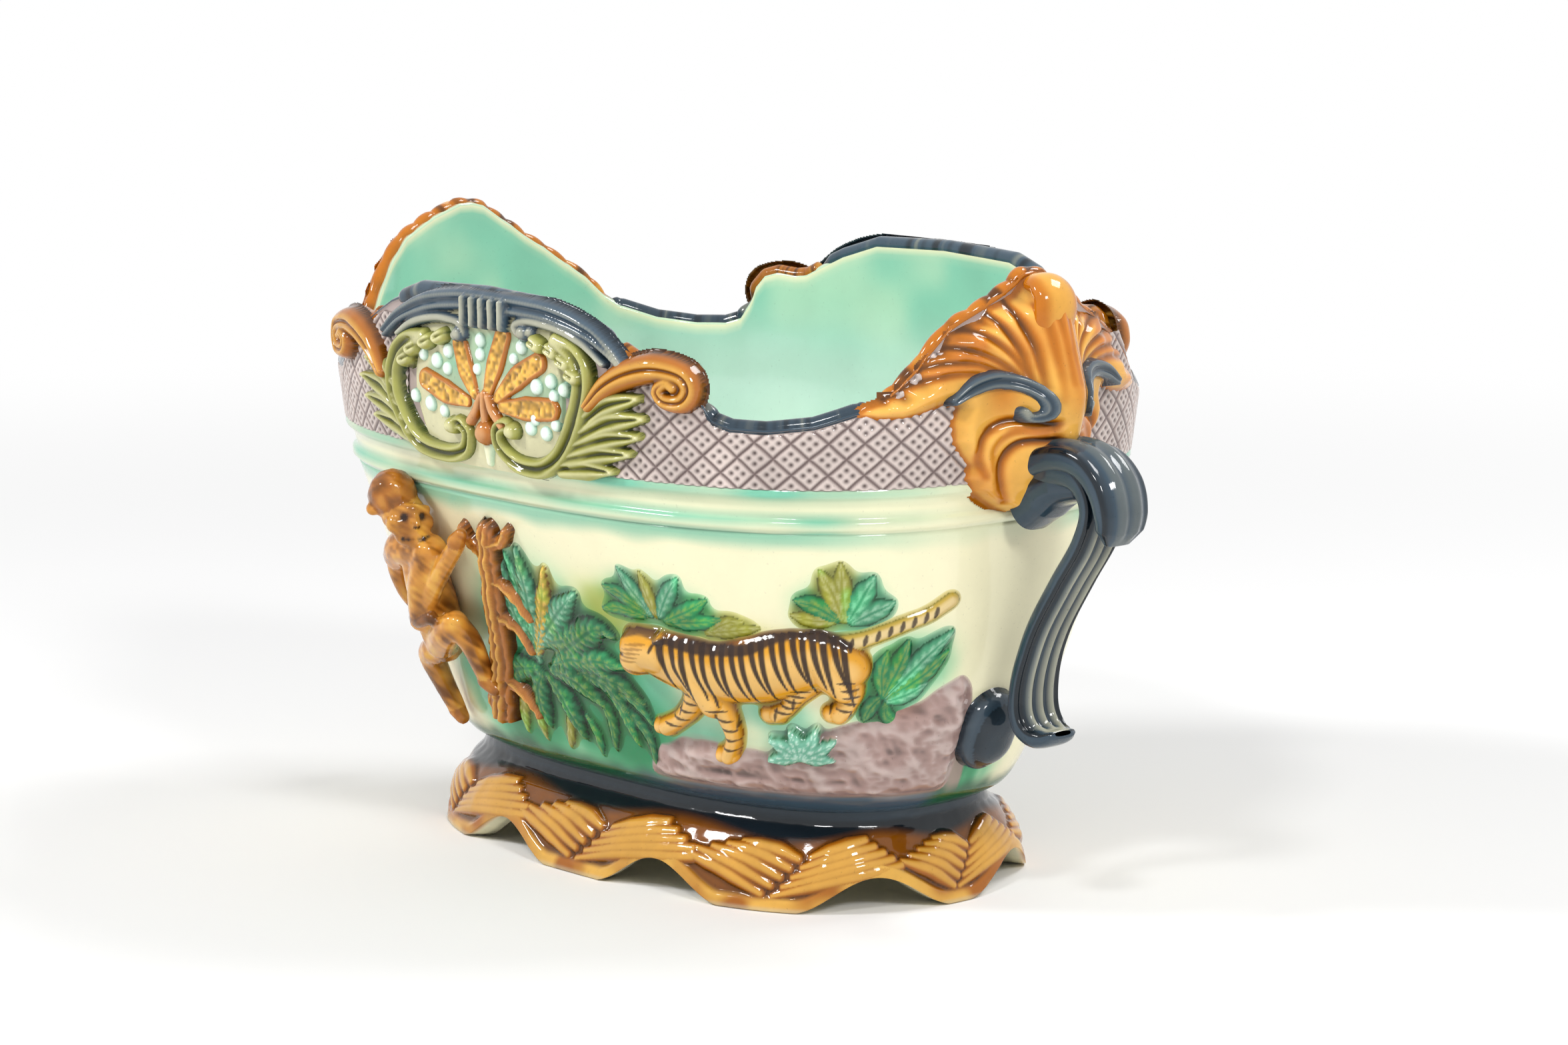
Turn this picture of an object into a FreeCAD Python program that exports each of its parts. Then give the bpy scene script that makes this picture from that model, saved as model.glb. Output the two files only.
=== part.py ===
import FreeCAD, Part
import math
import os

Vector = FreeCAD.Vector
document = FreeCAD.newDocument("majolica_planter")

# Sizes, in millimetres unless the name says otherwise
size_rows = (
    ("plan_power", 2.6),
    ("body_bottom", 36.0),
    ("shoulder_height", 150.0),
    ("heel_half_length", 122.0),
    ("heel_half_width", 64.0),
    ("shoulder_half_length", 163.0),
    ("shoulder_half_width", 115.5),
    ("moulding_height", 16.5),
    ("moulding_reach", 4.5),
    ("band_lean", 2.5),
    ("wall_thickness", 7.0),
    ("floor_thickness", 9.0),
    ("rim_dip_height", 187.5),
    ("rim_dip_distance", 130.0),
    ("notch_distance", 80.0),
    ("notch_height", 209.5),
    ("frame_height", 228.0),
    ("frame_flat_distance", 40.0),
    ("volute_distance", 96.0),
    ("volute_height", 203.0),
    ("volute_radius", 9.5),
    ("volute_girth", 5.2),
    ("leaf_height", 239.0),
    ("leaf_thickness", 5.0),
    ("leaf_width_share", 0.66),
    ("leaf_lobe_girth", 9.0),
    ("leaf_tip_girth", 9.5),
    ("leaf_scroll_girth", 3.6),
    ("collar_setback", 1.5),
    ("foot_half_length", 132.0),
    ("foot_half_width", 80.0),
    ("foot_thickness", 10.0),
    ("arch_width", 50.0),
    ("arch_height", 13.0),
    ("handle_top", 181.5),
    ("handle_bottom", 71.0),
    ("handle_reach", 44.0),
    ("handle_half_width", 9.0),
    ("handle_half_thickness", 4.4),
    ("cap_droop", 24.0),
    ("cap_half_thickness", 5.0),
    ("boss_girth", 14.0),
    ("frame_girth", 7.5),
    ("frame_depth", 6.0),
    ("clasp_girth", 11.0),
    ("curl_radius", 5.2),
    ("cartouche_bottom", 164.0),
    ("scroll_girth", 4.6),
    ("scroll_leaf_girth", 5.0),
    ("palmette_girth", 5.0),
    ("knob_radius", 6.0),
    ("pearl_radius", 3.0),
    ("rim_bead_girth", 3.2),
    ("tiger_girth", 13.0),
    ("tiger_depth", 8.5),
    ("tiger_leg_girth", 5.0),
    ("tiger_tail_girth", 3.2),
    ("monkey_girth", 9.0),
    ("monkey_limb_girth", 4.6),
    ("monkey_head_half_width", 10.5),
    ("monkey_head_half_height", 15.0),
    ("stump_girth", 5.5),
    ("fern_girth", 5.0),
    ("palm_girth", 5.0),
    ("bush_girth", 5.5),
    ("rock_girth", 9.0),
    ("relief_depth", 3.4),
)
sheet = document.addObject("Spreadsheet::Sheet", "sizes")
for row, (alias, value) in enumerate(size_rows, start=1):
    sheet.set("A%d" % row, alias)
    sheet.set("B%d" % row, str(value))
    sheet.setAlias("B%d" % row, alias)
document.recompute()


def size(alias):
    return float(getattr(sheet, alias))


power = size("plan_power")
body_bottom = size("body_bottom")
shoulder_height = size("shoulder_height")
body_height = shoulder_height - body_bottom
band_height = shoulder_height + size("moulding_height")
clear_above = size("leaf_height") + size("leaf_tip_girth") * 2

# Levels of the outer wall: height, half length, half width
level_height_shares = (0.0, 0.035, 0.096, 0.193, 0.333, 0.649, 1.0)
length_rise_shares = (0.0, 0.16, 0.28, 0.415, 0.585, 0.805, 1.0)
width_rise_shares = (0.0, 0.123, 0.198, 0.274, 0.387, 0.689, 1.0)
body_levels = []
for height_share, length_share, width_share in zip(
        level_height_shares, length_rise_shares, width_rise_shares):
    body_levels.append((
        body_bottom + body_height * height_share,
        size("heel_half_length") + (size("shoulder_half_length") - size("heel_half_length")) * length_share,
        size("heel_half_width") + (size("shoulder_half_width") - size("heel_half_width")) * width_share))

moulding_height_shares = (0.0, 0.12, 0.26, 0.36, 0.62, 0.82, 0.84, 1.0)
moulding_reach_shares = (0.0, 0.45, 0.45, 0.1, 0.3, 0.75, 1.0, 1.0)
moulding_levels = []
for height_share, reach_share in zip(moulding_height_shares, moulding_reach_shares):
    moulding_levels.append((
        shoulder_height + size("moulding_height") * height_share,
        size("shoulder_half_length") + size("moulding_reach") * reach_share,
        size("shoulder_half_width") + size("moulding_reach") * reach_share))

band_half_length = size("shoulder_half_length") + size("moulding_reach")
band_half_width = size("shoulder_half_width") + size("moulding_reach")
rim_half_length = band_half_length + size("band_lean")
rim_half_width = band_half_width + size("band_lean")
band_levels = [
    (band_height, band_half_length, band_half_width),
    (size("rim_dip_height"), rim_half_length, rim_half_width),
    (clear_above, rim_half_length, rim_half_width)]
wall_levels = body_levels + band_levels


def wall_half_sizes(height):
    """Half length and half width of the outer wall at a height."""
    low = wall_levels[0]
    for high in wall_levels[1:]:
        if height <= high[0]:
            break
        low = high
    share = (height - low[0]) / (high[0] - low[0]) if high[0] > low[0] else 0.0
    share = min(max(share, 0.0), 1.0)
    return low[1] + (high[1] - low[1]) * share, low[2] + (high[2] - low[2]) * share


def oval_place(half_length, half_width, bearing):
    """Place on a full oval; bearing in degrees, 0 at the right end, -90 at the front."""
    across = math.cos(math.radians(bearing))
    along = math.sin(math.radians(bearing))
    reach = (abs(across) ** power + abs(along) ** power) ** (-1.0 / power)
    return half_length * across * reach, half_width * along * reach


def oval_normal(half_length, half_width, bearing):
    """Level outward direction of a full oval at a bearing."""
    x, y = oval_place(half_length, half_width, bearing)
    normal = Vector(
        math.copysign((abs(x) / half_length) ** (power - 1) / half_length, x),
        math.copysign((abs(y) / half_width) ** (power - 1) / half_width, y), 0)
    return normal.normalize()


def wall_site(bearing, height, lift=0.0):
    """Point on the outer wall, lifted outward, and the outward direction there."""
    half_length, half_width = wall_half_sizes(height)
    x, y = oval_place(half_length, half_width, bearing)
    outward = oval_normal(half_length, half_width, bearing)
    return Vector(x, y, height) + outward * lift, outward


def front_bearing(distance, height):
    """Bearing of the front place that lies a distance right of the centre plane."""
    half_length, half_width = wall_half_sizes(height)
    share = distance / half_length
    depth_share = (1.0 - abs(share) ** power) ** (1.0 / power)
    return math.degrees(math.atan2(-depth_share, share))


def oval_wire(level):
    """Closed smooth curve of the plan at a level."""
    height, half_length, half_width = level
    curve_points = 48
    seam_bearing = 127.5
    points = []
    for step in range(curve_points):
        x, y = oval_place(half_length, half_width, seam_bearing + 360.0 * step / curve_points)
        points.append(Vector(x, y, height))
    curve = Part.BSplineCurve()
    curve.interpolate(Points=points, PeriodicFlag=True)
    return Part.Wire([curve.toShape()])


def add_shape(name, shape):
    """A document object that holds a shape made by a formula."""
    feature = document.addObject("Part::Feature", name)
    feature.Shape = shape
    return feature


def add_loft(name, levels, ruled):
    """A solid loft through plan curves."""
    sections = []
    for index, level in enumerate(levels):
        sections.append(add_shape("%s_level_%d" % (name, index), oval_wire(level)))
    loft = document.addObject("Part::Loft", name)
    loft.Sections = sections
    loft.Solid = True
    loft.Ruled = ruled
    return loft


def add_cut(name, base, tool):
    cut = document.addObject("Part::Cut", name)
    cut.Base = base
    cut.Tool = tool
    cut.Refine = False
    return cut


def add_fuse(name, members):
    fuse = document.addObject("Part::MultiFuse", name)
    fuse.Shapes = members
    fuse.Refine = False
    return fuse


def add_ellipsoid(name, site, outward, depth_formula, side_formula, height_formula):
    """An egg with its depth along the outward direction; radii are sheet formulas."""
    egg = document.addObject("Part::Ellipsoid", name)
    egg.Angle1 = -90
    egg.Angle2 = 90
    egg.setExpression("Radius1", height_formula)
    egg.setExpression("Radius2", depth_formula)
    egg.setExpression("Radius3", side_formula)
    turn = math.degrees(math.atan2(-outward.y, -outward.x))
    egg.Placement = FreeCAD.Placement(site, FreeCAD.Rotation(Vector(0, 0, 1), turn))
    return egg


def stroke(stations):
    """Solid of changing oval section through (point, outward, half width, half depth) stations."""
    ring_points = 10
    wires = []
    for index, (point, outward, half_width, half_depth) in enumerate(stations):
        before = stations[max(index - 1, 0)][0]
        after = stations[min(index + 1, len(stations) - 1)][0]
        along = (after - before).normalize()
        side = along.cross(outward).normalize()
        rise = side.cross(along).normalize()
        ring = []
        for step in range(ring_points):
            turn = 2 * math.pi * step / ring_points
            ring.append(point + side * (half_width * math.cos(turn)) + rise * (half_depth * math.sin(turn)))
        curve = Part.BSplineCurve()
        curve.interpolate(Points=ring, PeriodicFlag=True)
        wires.append(Part.Wire([curve.toShape()]))
    solid = Part.makeLoft(wires, True, False)
    if solid.Volume < 0:
        solid.reverse()
    return solid


def egg(site, outward, half_depth, half_width, half_height):
    """Upright egg made of level rings, with small flat ends."""
    level_shares = (-0.96, -0.78, -0.42, 0.0, 0.42, 0.78, 0.96)
    stations = []
    for share in level_shares:
        ring_share = math.sqrt(1 - share * share)
        point = site + Vector(0, 0, half_height * share)
        stations.append((point, outward, half_width * ring_share, half_depth * ring_share))
    return stroke(stations)


def wall_stroke(path, girth, depth, girth_shares, lift=0.0):
    """Stroke along (bearing, height) places of the wall."""
    stations = []
    for (bearing, height), share in zip(path, girth_shares):
        point, outward = wall_site(bearing, height, lift)
        stations.append((point, outward, girth * share, depth * max(share, 0.45)))
    return stroke(stations)


def body_path(path_shares):
    """(bearing, share of the body height) places as (bearing, height) places."""
    return [(bearing, body_bottom + body_height * share) for bearing, share in path_shares]


def joined(solids):
    """Touching solids made one."""
    if len(solids) == 1:
        return solids[0]
    return solids[0].multiFuse(solids[1:])


def seat_piece(name, solids, seat, neighbours=()):
    """Piece of touching solids, with what lies inside the seat and the neighbours taken off."""
    document.recompute()
    shapes = [solid if hasattr(solid, "Solids") else solid.Shape for solid in solids]
    ways = (
        lambda: joined(shapes).cut(seat.Shape),
        lambda: joined([shape.cut(seat.Shape) for shape in shapes]),
        lambda: joined(shapes).removeSplitter().cut(seat.Shape))
    for way in ways:
        shape = way()
        if shape.Solids and shape.isValid():
            break
    else:
        raise RuntimeError("%s could not be seated" % name)
    for neighbour in neighbours:
        freed = shape.cut(neighbour.Shape)
        if freed.Solids and freed.isValid():
            shape = freed
    crumb_share = 0.02
    kept = [solid for solid in shape.Solids if solid.Volume > shape.Volume * crumb_share]
    return add_shape(name, Part.Compound(kept))


# Vessel: one core for seating the ornaments, hollowed and given its rim
body_loft = add_loft("body_core", body_levels, False)
moulding_loft = add_loft("moulding_core", moulding_levels, True)
band_loft = add_loft("band_core", band_levels, True)
core = add_fuse("vessel_core", [body_loft, moulding_loft, band_loft])

band_seat_levels = [(shoulder_height * 0.9, band_half_length, band_half_width)] + band_levels
band_seat = add_loft("band_seat", band_seat_levels, True)
leaf_seat_levels = []
for height, half_length, half_width in band_seat_levels:
    leaf_seat_levels.append((height, half_length + size("leaf_thickness"), half_width + size("leaf_thickness")))
leaf_seat = add_loft("leaf_seat", leaf_seat_levels, True)

wall_thickness = size("wall_thickness")
floor_height = body_bottom + size("floor_thickness")
cavity_height_shares = (0.0, 0.05, 0.16, 0.36, 0.68, 1.0)
cavity_extra_shares = (1.6, 0.55, 0.1, 0.0, 0.0, 0.0)
cavity_levels = []
for height_share, extra_share in zip(cavity_height_shares, cavity_extra_shares):
    height = floor_height + (shoulder_height - floor_height) * height_share
    half_length, half_width = wall_half_sizes(height)
    inset = wall_thickness * (1.0 + extra_share)
    cavity_levels.append((height, half_length - inset, half_width - inset))
cavity_levels.append((band_height, band_half_length - wall_thickness, band_half_width - wall_thickness))
cavity_levels.append((size("rim_dip_height"), rim_half_length - wall_thickness, rim_half_width - wall_thickness))
cavity_levels.append((clear_above * 1.02, rim_half_length - wall_thickness, rim_half_width - wall_thickness))
cavity = add_loft("cavity", cavity_levels, True)
bowl = add_cut("bowl", core, cavity)

# Rim outline on the front and back, seen from the front
dip_distance = size("rim_dip_distance")
dip_height = size("rim_dip_height")
notch_distance = size("notch_distance")
notch_height = size("notch_height")
frame_height = size("frame_height")
frame_flat_distance = size("frame_flat_distance")
volute_distance = size("volute_distance")
volute_height = size("volute_height")
volute_radius = size("volute_radius")
volute_foot_height = dip_height + (volute_height - dip_height) * 0.4


def front_rim_edges(side):
    """Rim edges from the centre plane out to the dip; side is 1 for right, -1 for left."""
    centre = Vector(0, 0, frame_height)
    flat = Vector(side * frame_flat_distance, 0, frame_height)
    notch = Vector(side * notch_distance, 0, notch_height)
    crown_share = 0.42
    bend = Vector(
        side * (notch_distance - (notch_distance - frame_flat_distance) * crown_share), 0,
        frame_height - (frame_height - notch_height) * 0.3)
    volute_top = Vector(side * volute_distance, 0, volute_height + volute_radius)
    volute_end = Vector(side * (volute_distance + volute_radius), 0, volute_foot_height)
    corner_share = 0.8
    volute_side = Vector(
        side * (volute_distance + volute_radius * corner_share), 0,
        volute_height + volute_radius * 0.55)
    dip = Vector(side * dip_distance, 0, dip_height)
    dip_bend = Vector(
        side * (volute_distance + volute_radius + (dip_distance - volute_distance - volute_radius) * 0.45), 0,
        dip_height + (volute_foot_height - dip_height) * 0.3)
    return [
        Part.LineSegment(centre, flat).toShape(),
        Part.Arc(flat, bend, notch).toShape(),
        Part.LineSegment(notch, volute_top).toShape(),
        Part.Arc(volute_top, volute_side, volute_end).toShape(),
        Part.Arc(volute_end, dip_bend, dip).toShape()]


right_edges = front_rim_edges(1)
left_edges = front_rim_edges(-1)
dip_right = Vector(dip_distance, 0, dip_height)
dip_left = Vector(-dip_distance, 0, dip_height)
over_right = Vector(dip_distance, 0, clear_above * 1.1)
over_left = Vector(-dip_distance, 0, clear_above * 1.1)
rim_front_edges = right_edges + left_edges + [
    Part.LineSegment(dip_right, over_right).toShape(),
    Part.LineSegment(over_right, over_left).toShape(),
    Part.LineSegment(over_left, dip_left).toShape()]
rim_front_wire = Part.Wire(Part.__sortEdges__(rim_front_edges))
rim_front_face = add_shape("rim_front_outline", Part.Face(rim_front_wire))
rim_front_tool = document.addObject("Part::Extrusion", "rim_front_tool")
rim_front_tool.Base = rim_front_face
rim_front_tool.DirMode = "Custom"
rim_front_tool.Dir = Vector(0, 1, 0)
rim_front_tool.Solid = True
rim_front_tool.Symmetric = True
rim_front_tool.setExpression("LengthFwd", "sizes.shoulder_half_width * 4")

# Rim outline on the ends, seen from the right
leaf_height = size("leaf_height")
rim_share = (1.0 - (dip_distance / rim_half_length) ** power) ** (1.0 / power)
dip_width = rim_half_width * rim_share
end_width_shares = (1.0, 0.78, 0.58, 0.42, 0.29, 0.18, 0.0)
end_height_shares = (0.0, 0.08, 0.22, 0.44, 0.67, 0.86, 1.0)
end_start = dip_distance * 0.985
end_points = []
for width_share, height_share in zip(end_width_shares, end_height_shares):
    end_points.append(Vector(
        end_start, -dip_width * width_share, dip_height + (leaf_height - dip_height) * height_share))
for point in reversed(end_points[:-1]):
    end_points.append(Vector(point.x, -point.y, point.z))
end_curve = Part.BSplineCurve()
end_curve.interpolate(end_points)
reach_past = size("shoulder_half_width") * 2
end_low = Vector(end_start, -reach_past, dip_height)
end_far = Vector(end_start, reach_past, dip_height)
end_far_over = Vector(end_start, reach_past, clear_above * 1.1)
end_low_over = Vector(end_start, -reach_past, clear_above * 1.1)
rim_end_wire = Part.Wire([
    Part.LineSegment(end_low, end_points[0]).toShape(),
    end_curve.toShape(),
    Part.LineSegment(end_points[-1], end_far).toShape(),
    Part.LineSegment(end_far, end_far_over).toShape(),
    Part.LineSegment(end_far_over, end_low_over).toShape(),
    Part.LineSegment(end_low_over, end_low).toShape()])
rim_end_face = add_shape("rim_end_outline", Part.Face(rim_end_wire))
rim_right_tool = document.addObject("Part::Extrusion", "rim_right_tool")
rim_right_tool.Base = rim_end_face
rim_right_tool.DirMode = "Custom"
rim_right_tool.Dir = Vector(1, 0, 0)
rim_right_tool.Solid = True
rim_right_tool.setExpression("LengthFwd", "sizes.shoulder_half_length")
rim_left_tool = document.addObject("Part::Mirroring", "rim_left_tool")
rim_left_tool.Source = rim_right_tool
rim_left_tool.Base = Vector(0, 0, 0)
rim_left_tool.Normal = Vector(1, 0, 0)
bowl_fronts = add_cut("bowl_fronts", bowl, rim_front_tool)
bowl_right = add_cut("bowl_right", bowl_fronts, rim_right_tool)
vessel = add_cut("vessel", bowl_right, rim_left_tool)

# Foot: hollow flared skirt with arches between eight feet
foot_height_shares = (0.0, 0.39, 0.72, 0.86, 1.0)
foot_length_shares = (1.0, 0.78, 0.3, 0.05, 0.0)
foot_width_shares = (1.0, 0.86, 0.51, 0.14, 0.0)
collar_half_length = size("heel_half_length") - size("collar_setback")
collar_half_width = size("heel_half_width") - size("collar_setback")
foot_levels = []
hollow_levels = []
for height_share, length_share, width_share in zip(
        foot_height_shares, foot_length_shares, foot_width_shares):
    half_length = collar_half_length + (size("foot_half_length") - collar_half_length) * length_share
    half_width = collar_half_width + (size("foot_half_width") - collar_half_width) * width_share
    foot_levels.append((body_bottom * height_share, half_length, half_width))
    hollow_levels.append((
        body_bottom * height_share, half_length - size("foot_thickness"), half_width - size("foot_thickness")))
foot_skirt = add_loft("foot_skirt", foot_levels, False)
foot_hollow = add_loft("foot_hollow", hollow_levels, False)
foot_ring = add_cut("foot_ring", foot_skirt, foot_hollow)
arch_bearings = (25.0, 70.0, 110.0, 155.0, 205.0, 250.0, 290.0, 335.0)
arches = []
for index, bearing in enumerate(arch_bearings):
    middle_share = 0.5
    half_length = size("foot_half_length") - size("foot_thickness") * middle_share
    half_width = size("foot_half_width") - size("foot_thickness") * middle_share
    x, y = oval_place(half_length, half_width, bearing)
    outward = oval_normal(half_length, half_width, bearing)
    arches.append(add_ellipsoid(
        "arch_%d" % index, Vector(x, y, 0), outward,
        "sizes.foot_thickness * 3", "sizes.arch_width / 2", "sizes.arch_height"))
arch_tool = add_fuse("arch_tool", arches)
foot = add_cut("foot", foot_ring, arch_tool)

# End leaf: rib, lobes on both sides and a curled tip
leaf_base_height = band_height - size("moulding_height") * 0.45


def leaf_height_at(share):
    return leaf_base_height + (leaf_height - leaf_base_height) * share


leaf_half_width = dip_width * size("leaf_width_share")
scallop_width_shares = (0.0, 0.25, 0.40, 0.58, 0.67, 0.755, 0.755, 0.90, 0.955, 1.01, 1.0)
scallop_height_shares = (1.0, 0.965, 0.868, 0.858, 0.785, 0.746, 0.695, 0.615, 0.513, 0.48, 0.445)
under_width_shares = (0.89, 0.59, 0.565, 0.485, 0.47, 0.40, 0.30, 0.0)
under_height_shares = (0.415, 0.455, 0.375, 0.25, 0.18, 0.145, 0.04, 0.0)


def leaf_place(side, width_share, height_share):
    return Vector(0, side * leaf_half_width * width_share, leaf_height_at(height_share))


leaf_edges = []
for side in (1, -1):
    corners = []
    for width_share, height_share in zip(
            scallop_width_shares + under_width_shares, scallop_height_shares + under_height_shares):
        corners.append(leaf_place(side, width_share, height_share))
    for first in range(0, len(corners) - 2, 2):
        leaf_edges.append(Part.Arc(corners[first], corners[first + 1], corners[first + 2]).toShape())
leaf_wire = Part.Wire(Part.__sortEdges__(leaf_edges))
leaf_outline = add_shape("leaf_outline", Part.Face(leaf_wire))
leaf_block = document.addObject("Part::Extrusion", "leaf_block")
leaf_block.Base = leaf_outline
leaf_block.DirMode = "Custom"
leaf_block.Dir = Vector(1, 0, 0)
leaf_block.Solid = True
leaf_block.setExpression("LengthFwd", "sizes.shoulder_half_length * 2")
leaf_layer = document.addObject("Part::Common", "leaf_layer")
leaf_layer.Base = leaf_block
leaf_layer.Tool = leaf_seat
leaf_sheet = add_cut("leaf_sheet", leaf_layer, band_seat)
rib_path = [(0.0, leaf_height_at(share)) for share in (0.42, 0.6, 0.8, 0.97)]
leaf_rib = add_shape("leaf_rib", wall_stroke(
    rib_path, size("leaf_lobe_girth"), size("leaf_thickness") * 1.6, (0.5, 0.8, 1.0, 0.8)))
leaf_rib_seated = add_cut("leaf_rib_seated", leaf_rib, band_seat)
tip_lift = size("leaf_thickness") + size("leaf_tip_girth") * 0.35
tip_site, tip_outward = wall_site(0.0, leaf_height - size("leaf_tip_girth") * 0.4, tip_lift)
leaf_tip = add_shape("leaf_tip", egg(
    tip_site, tip_outward, size("leaf_tip_girth"), size("leaf_tip_girth"), size("leaf_tip_girth") * 0.85))
leaf_tip_seated = add_cut("leaf_tip_seated", leaf_tip, band_seat)
end_leaf_right = add_fuse("end_leaf_right", [leaf_sheet, leaf_rib_seated, leaf_tip_seated])

# Blue scroll in the leaf, front side of the right end
leaf_scroll_path_shares = ((-17.5, 0.50), (-14.0, 0.56), (-10.0, 0.58), (-5.0, 0.55), (-2.0, 0.46), (-3.2, 0.38))
leaf_scroll_path = [(bearing, leaf_height_at(share)) for bearing, share in leaf_scroll_path_shares]
leaf_scroll_stroke = wall_stroke(
    leaf_scroll_path, size("leaf_scroll_girth"), size("leaf_scroll_girth"),
    (0.5, 0.9, 1.0, 1.0, 0.9, 1.1), size("leaf_thickness"))
leaf_scroll_right_front = seat_piece("leaf_scroll_right_front", [leaf_scroll_stroke], leaf_seat)

# Handle: strap in the plane of the long axis with a drooping cap
handle_height_shares = (0.91, 0.965, 1.0, 0.955, 0.85, 0.71, 0.56, 0.38, 0.235, 0.12, 0.04, 0.0, 0.04, 0.09)
handle_reach_shares = (-0.1, 0.16, 0.50, 0.80, 0.93, 0.92, 0.80, 0.62, 0.51, 0.49, 0.60, 0.78, 0.90, 0.84)
handle_girth_shares = (1.2, 1.1, 1.05, 1.0, 1.0, 1.0, 0.96, 0.92, 0.9, 0.9, 0.85, 0.75, 0.6, 0.4)
handle_span = size("handle_top") - size("handle_bottom")


def handle_place(height_share, reach_share):
    height = size("handle_bottom") + handle_span * height_share
    half_length, half_width = wall_half_sizes(height)
    return Vector(half_length + size("handle_reach") * reach_share, 0, height)


def plane_stations(points, half_width, half_thickness, shares):
    """Stations of a strap that lies in the plane of the long axis."""
    stations = []
    for index, (point, share) in enumerate(zip(points, shares)):
        before = points[max(index - 1, 0)]
        after = points[min(index + 1, len(points) - 1)]
        along = (after - before).normalize()
        outward = Vector(0, 1, 0).cross(along)
        stations.append((point, outward, half_width * share, half_thickness * share))
    return stations


handle_points = [
    handle_place(height_share, reach_share)
    for height_share, reach_share in zip(handle_height_shares, handle_reach_shares)]
strap = stroke(plane_stations(
    handle_points, size("handle_half_width"), size("handle_half_thickness"), handle_girth_shares))
cap_reach_shares = (0.36, 0.72, 1.05, 1.19, 1.13)
cap_drop_shares = (-0.12, -0.05, 0.3, 0.75, 1.2)
cap_girth_shares = (0.6, 1.0, 1.1, 1.0, 0.5)
cap_points = []
for reach_share, drop_share in zip(cap_reach_shares, cap_drop_shares):
    base = handle_place(1.0, reach_share)
    cap_points.append(Vector(base.x, 0, size("handle_top") - size("cap_droop") * drop_share))
cap = stroke(plane_stations(
    cap_points, size("handle_half_width"), size("cap_half_thickness"), cap_girth_shares))
handle_raw = add_shape("handle_raw", joined([strap, cap]))
handle_right = add_cut("handle_right", handle_raw, leaf_seat)

# Boss that carries the lower end of the handle
strap_low = handle_place(0.12, 0.49)
boss_height = size("handle_bottom")
boss_wall, boss_width = wall_half_sizes(boss_height)
boss_points = [
    Vector(boss_wall - wall_thickness * 0.7, 0, boss_height),
    Vector(boss_wall + wall_thickness * 0.6, 0, boss_height),
    Vector(boss_wall + (strap_low.x - boss_wall) * 0.6, 0, boss_height + (strap_low.z - boss_height) * 0.5),
    strap_low]
boss_raw = add_shape("handle_boss_raw", stroke(plane_stations(
    boss_points, size("boss_girth"), size("boss_girth"), (1.0, 0.95, 0.55, 0.35))))
boss_off_wall = add_cut("handle_boss_off_wall", boss_raw, body_loft)
handle_boss_right = add_cut("handle_boss_right", boss_off_wall, handle_raw)

# Cartouche places: shares of the notch distance and of the frame's height
cartouche_bottom = size("cartouche_bottom")
cartouche_height = frame_height - cartouche_bottom


def cartouche_path(place_shares):
    path = []
    for distance_share, height_share in place_shares:
        height = cartouche_bottom + cartouche_height * height_share
        path.append((front_bearing(notch_distance * distance_share, height), height))
    return path


frame_path_shares = ((0.0, 0.97), (0.3, 0.965), (0.55, 0.93), (0.76, 0.84), (0.9, 0.72))
frame_half_shares = (1.0, 1.0, 1.0, 0.95, 0.6)
frame_places = [(-distance, height) for distance, height in reversed(frame_path_shares[1:])]
frame_places += list(frame_path_shares)
frame_girth_shares = tuple(reversed(frame_half_shares[1:])) + frame_half_shares
frame_arch = wall_stroke(
    cartouche_path(frame_places), size("frame_girth"), size("frame_depth"), frame_girth_shares)
(clasp_bearing, clasp_height), = cartouche_path(((0.0, 0.9),))
clasp_site, clasp_outward = wall_site(clasp_bearing, clasp_height)
clasp = add_ellipsoid(
    "frame_clasp", clasp_site, clasp_outward, "sizes.frame_depth * 1.3", "sizes.clasp_girth",
    "sizes.clasp_girth * 0.9")
curls = []
for name, side in (("curl_right", 1), ("curl_left", -1)):
    (curl_bearing, curl_height), = cartouche_path(((side * 0.22, 0.81),))
    curl_site, curl_outward = wall_site(curl_bearing, curl_height, size("frame_depth") * 0.3)
    curls.append(add_ellipsoid(
        name, curl_site, curl_outward, "sizes.frame_depth * 1.2", "sizes.curl_radius", "sizes.curl_radius"))
cartouche_frame_front = seat_piece("cartouche_frame_front", [frame_arch, clasp] + curls, band_seat)

palmette_path_shares = (
    ((-0.07, 0.385), (-0.22, 0.425), (-0.38, 0.46)),
    ((-0.05, 0.43), (-0.10, 0.55), (-0.14, 0.69)),
    ((0.03, 0.44), (0.08, 0.59), (0.15, 0.73)),
    ((0.08, 0.425), (0.22, 0.53), (0.37, 0.63)),
    ((0.09, 0.375), (0.26, 0.39), (0.45, 0.39)))
palmette_parts = []
for path_shares in palmette_path_shares:
    palmette_parts.append(wall_stroke(
        cartouche_path(path_shares), size("palmette_girth"), size("palmette_girth"), (0.6, 1.0, 0.8)))
(hub_bearing, hub_height), (knob_bearing, knob_height) = cartouche_path(((0.0, 0.385), (0.0, 0.25)))
hub_site, hub_outward = wall_site(hub_bearing, hub_height)
knob_site, knob_outward = wall_site(knob_bearing, knob_height)
palmette_parts.append(add_ellipsoid(
    "palmette_hub", hub_site, hub_outward, "sizes.palmette_girth * 1.2", "sizes.knob_radius * 1.2",
    "sizes.knob_radius"))
palmette_parts.append(add_ellipsoid(
    "palmette_knob", knob_site, knob_outward, "sizes.knob_radius * 1.1", "sizes.knob_radius * 0.85",
    "sizes.knob_radius"))
palmette_front = seat_piece("palmette_front", palmette_parts, band_seat)

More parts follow.
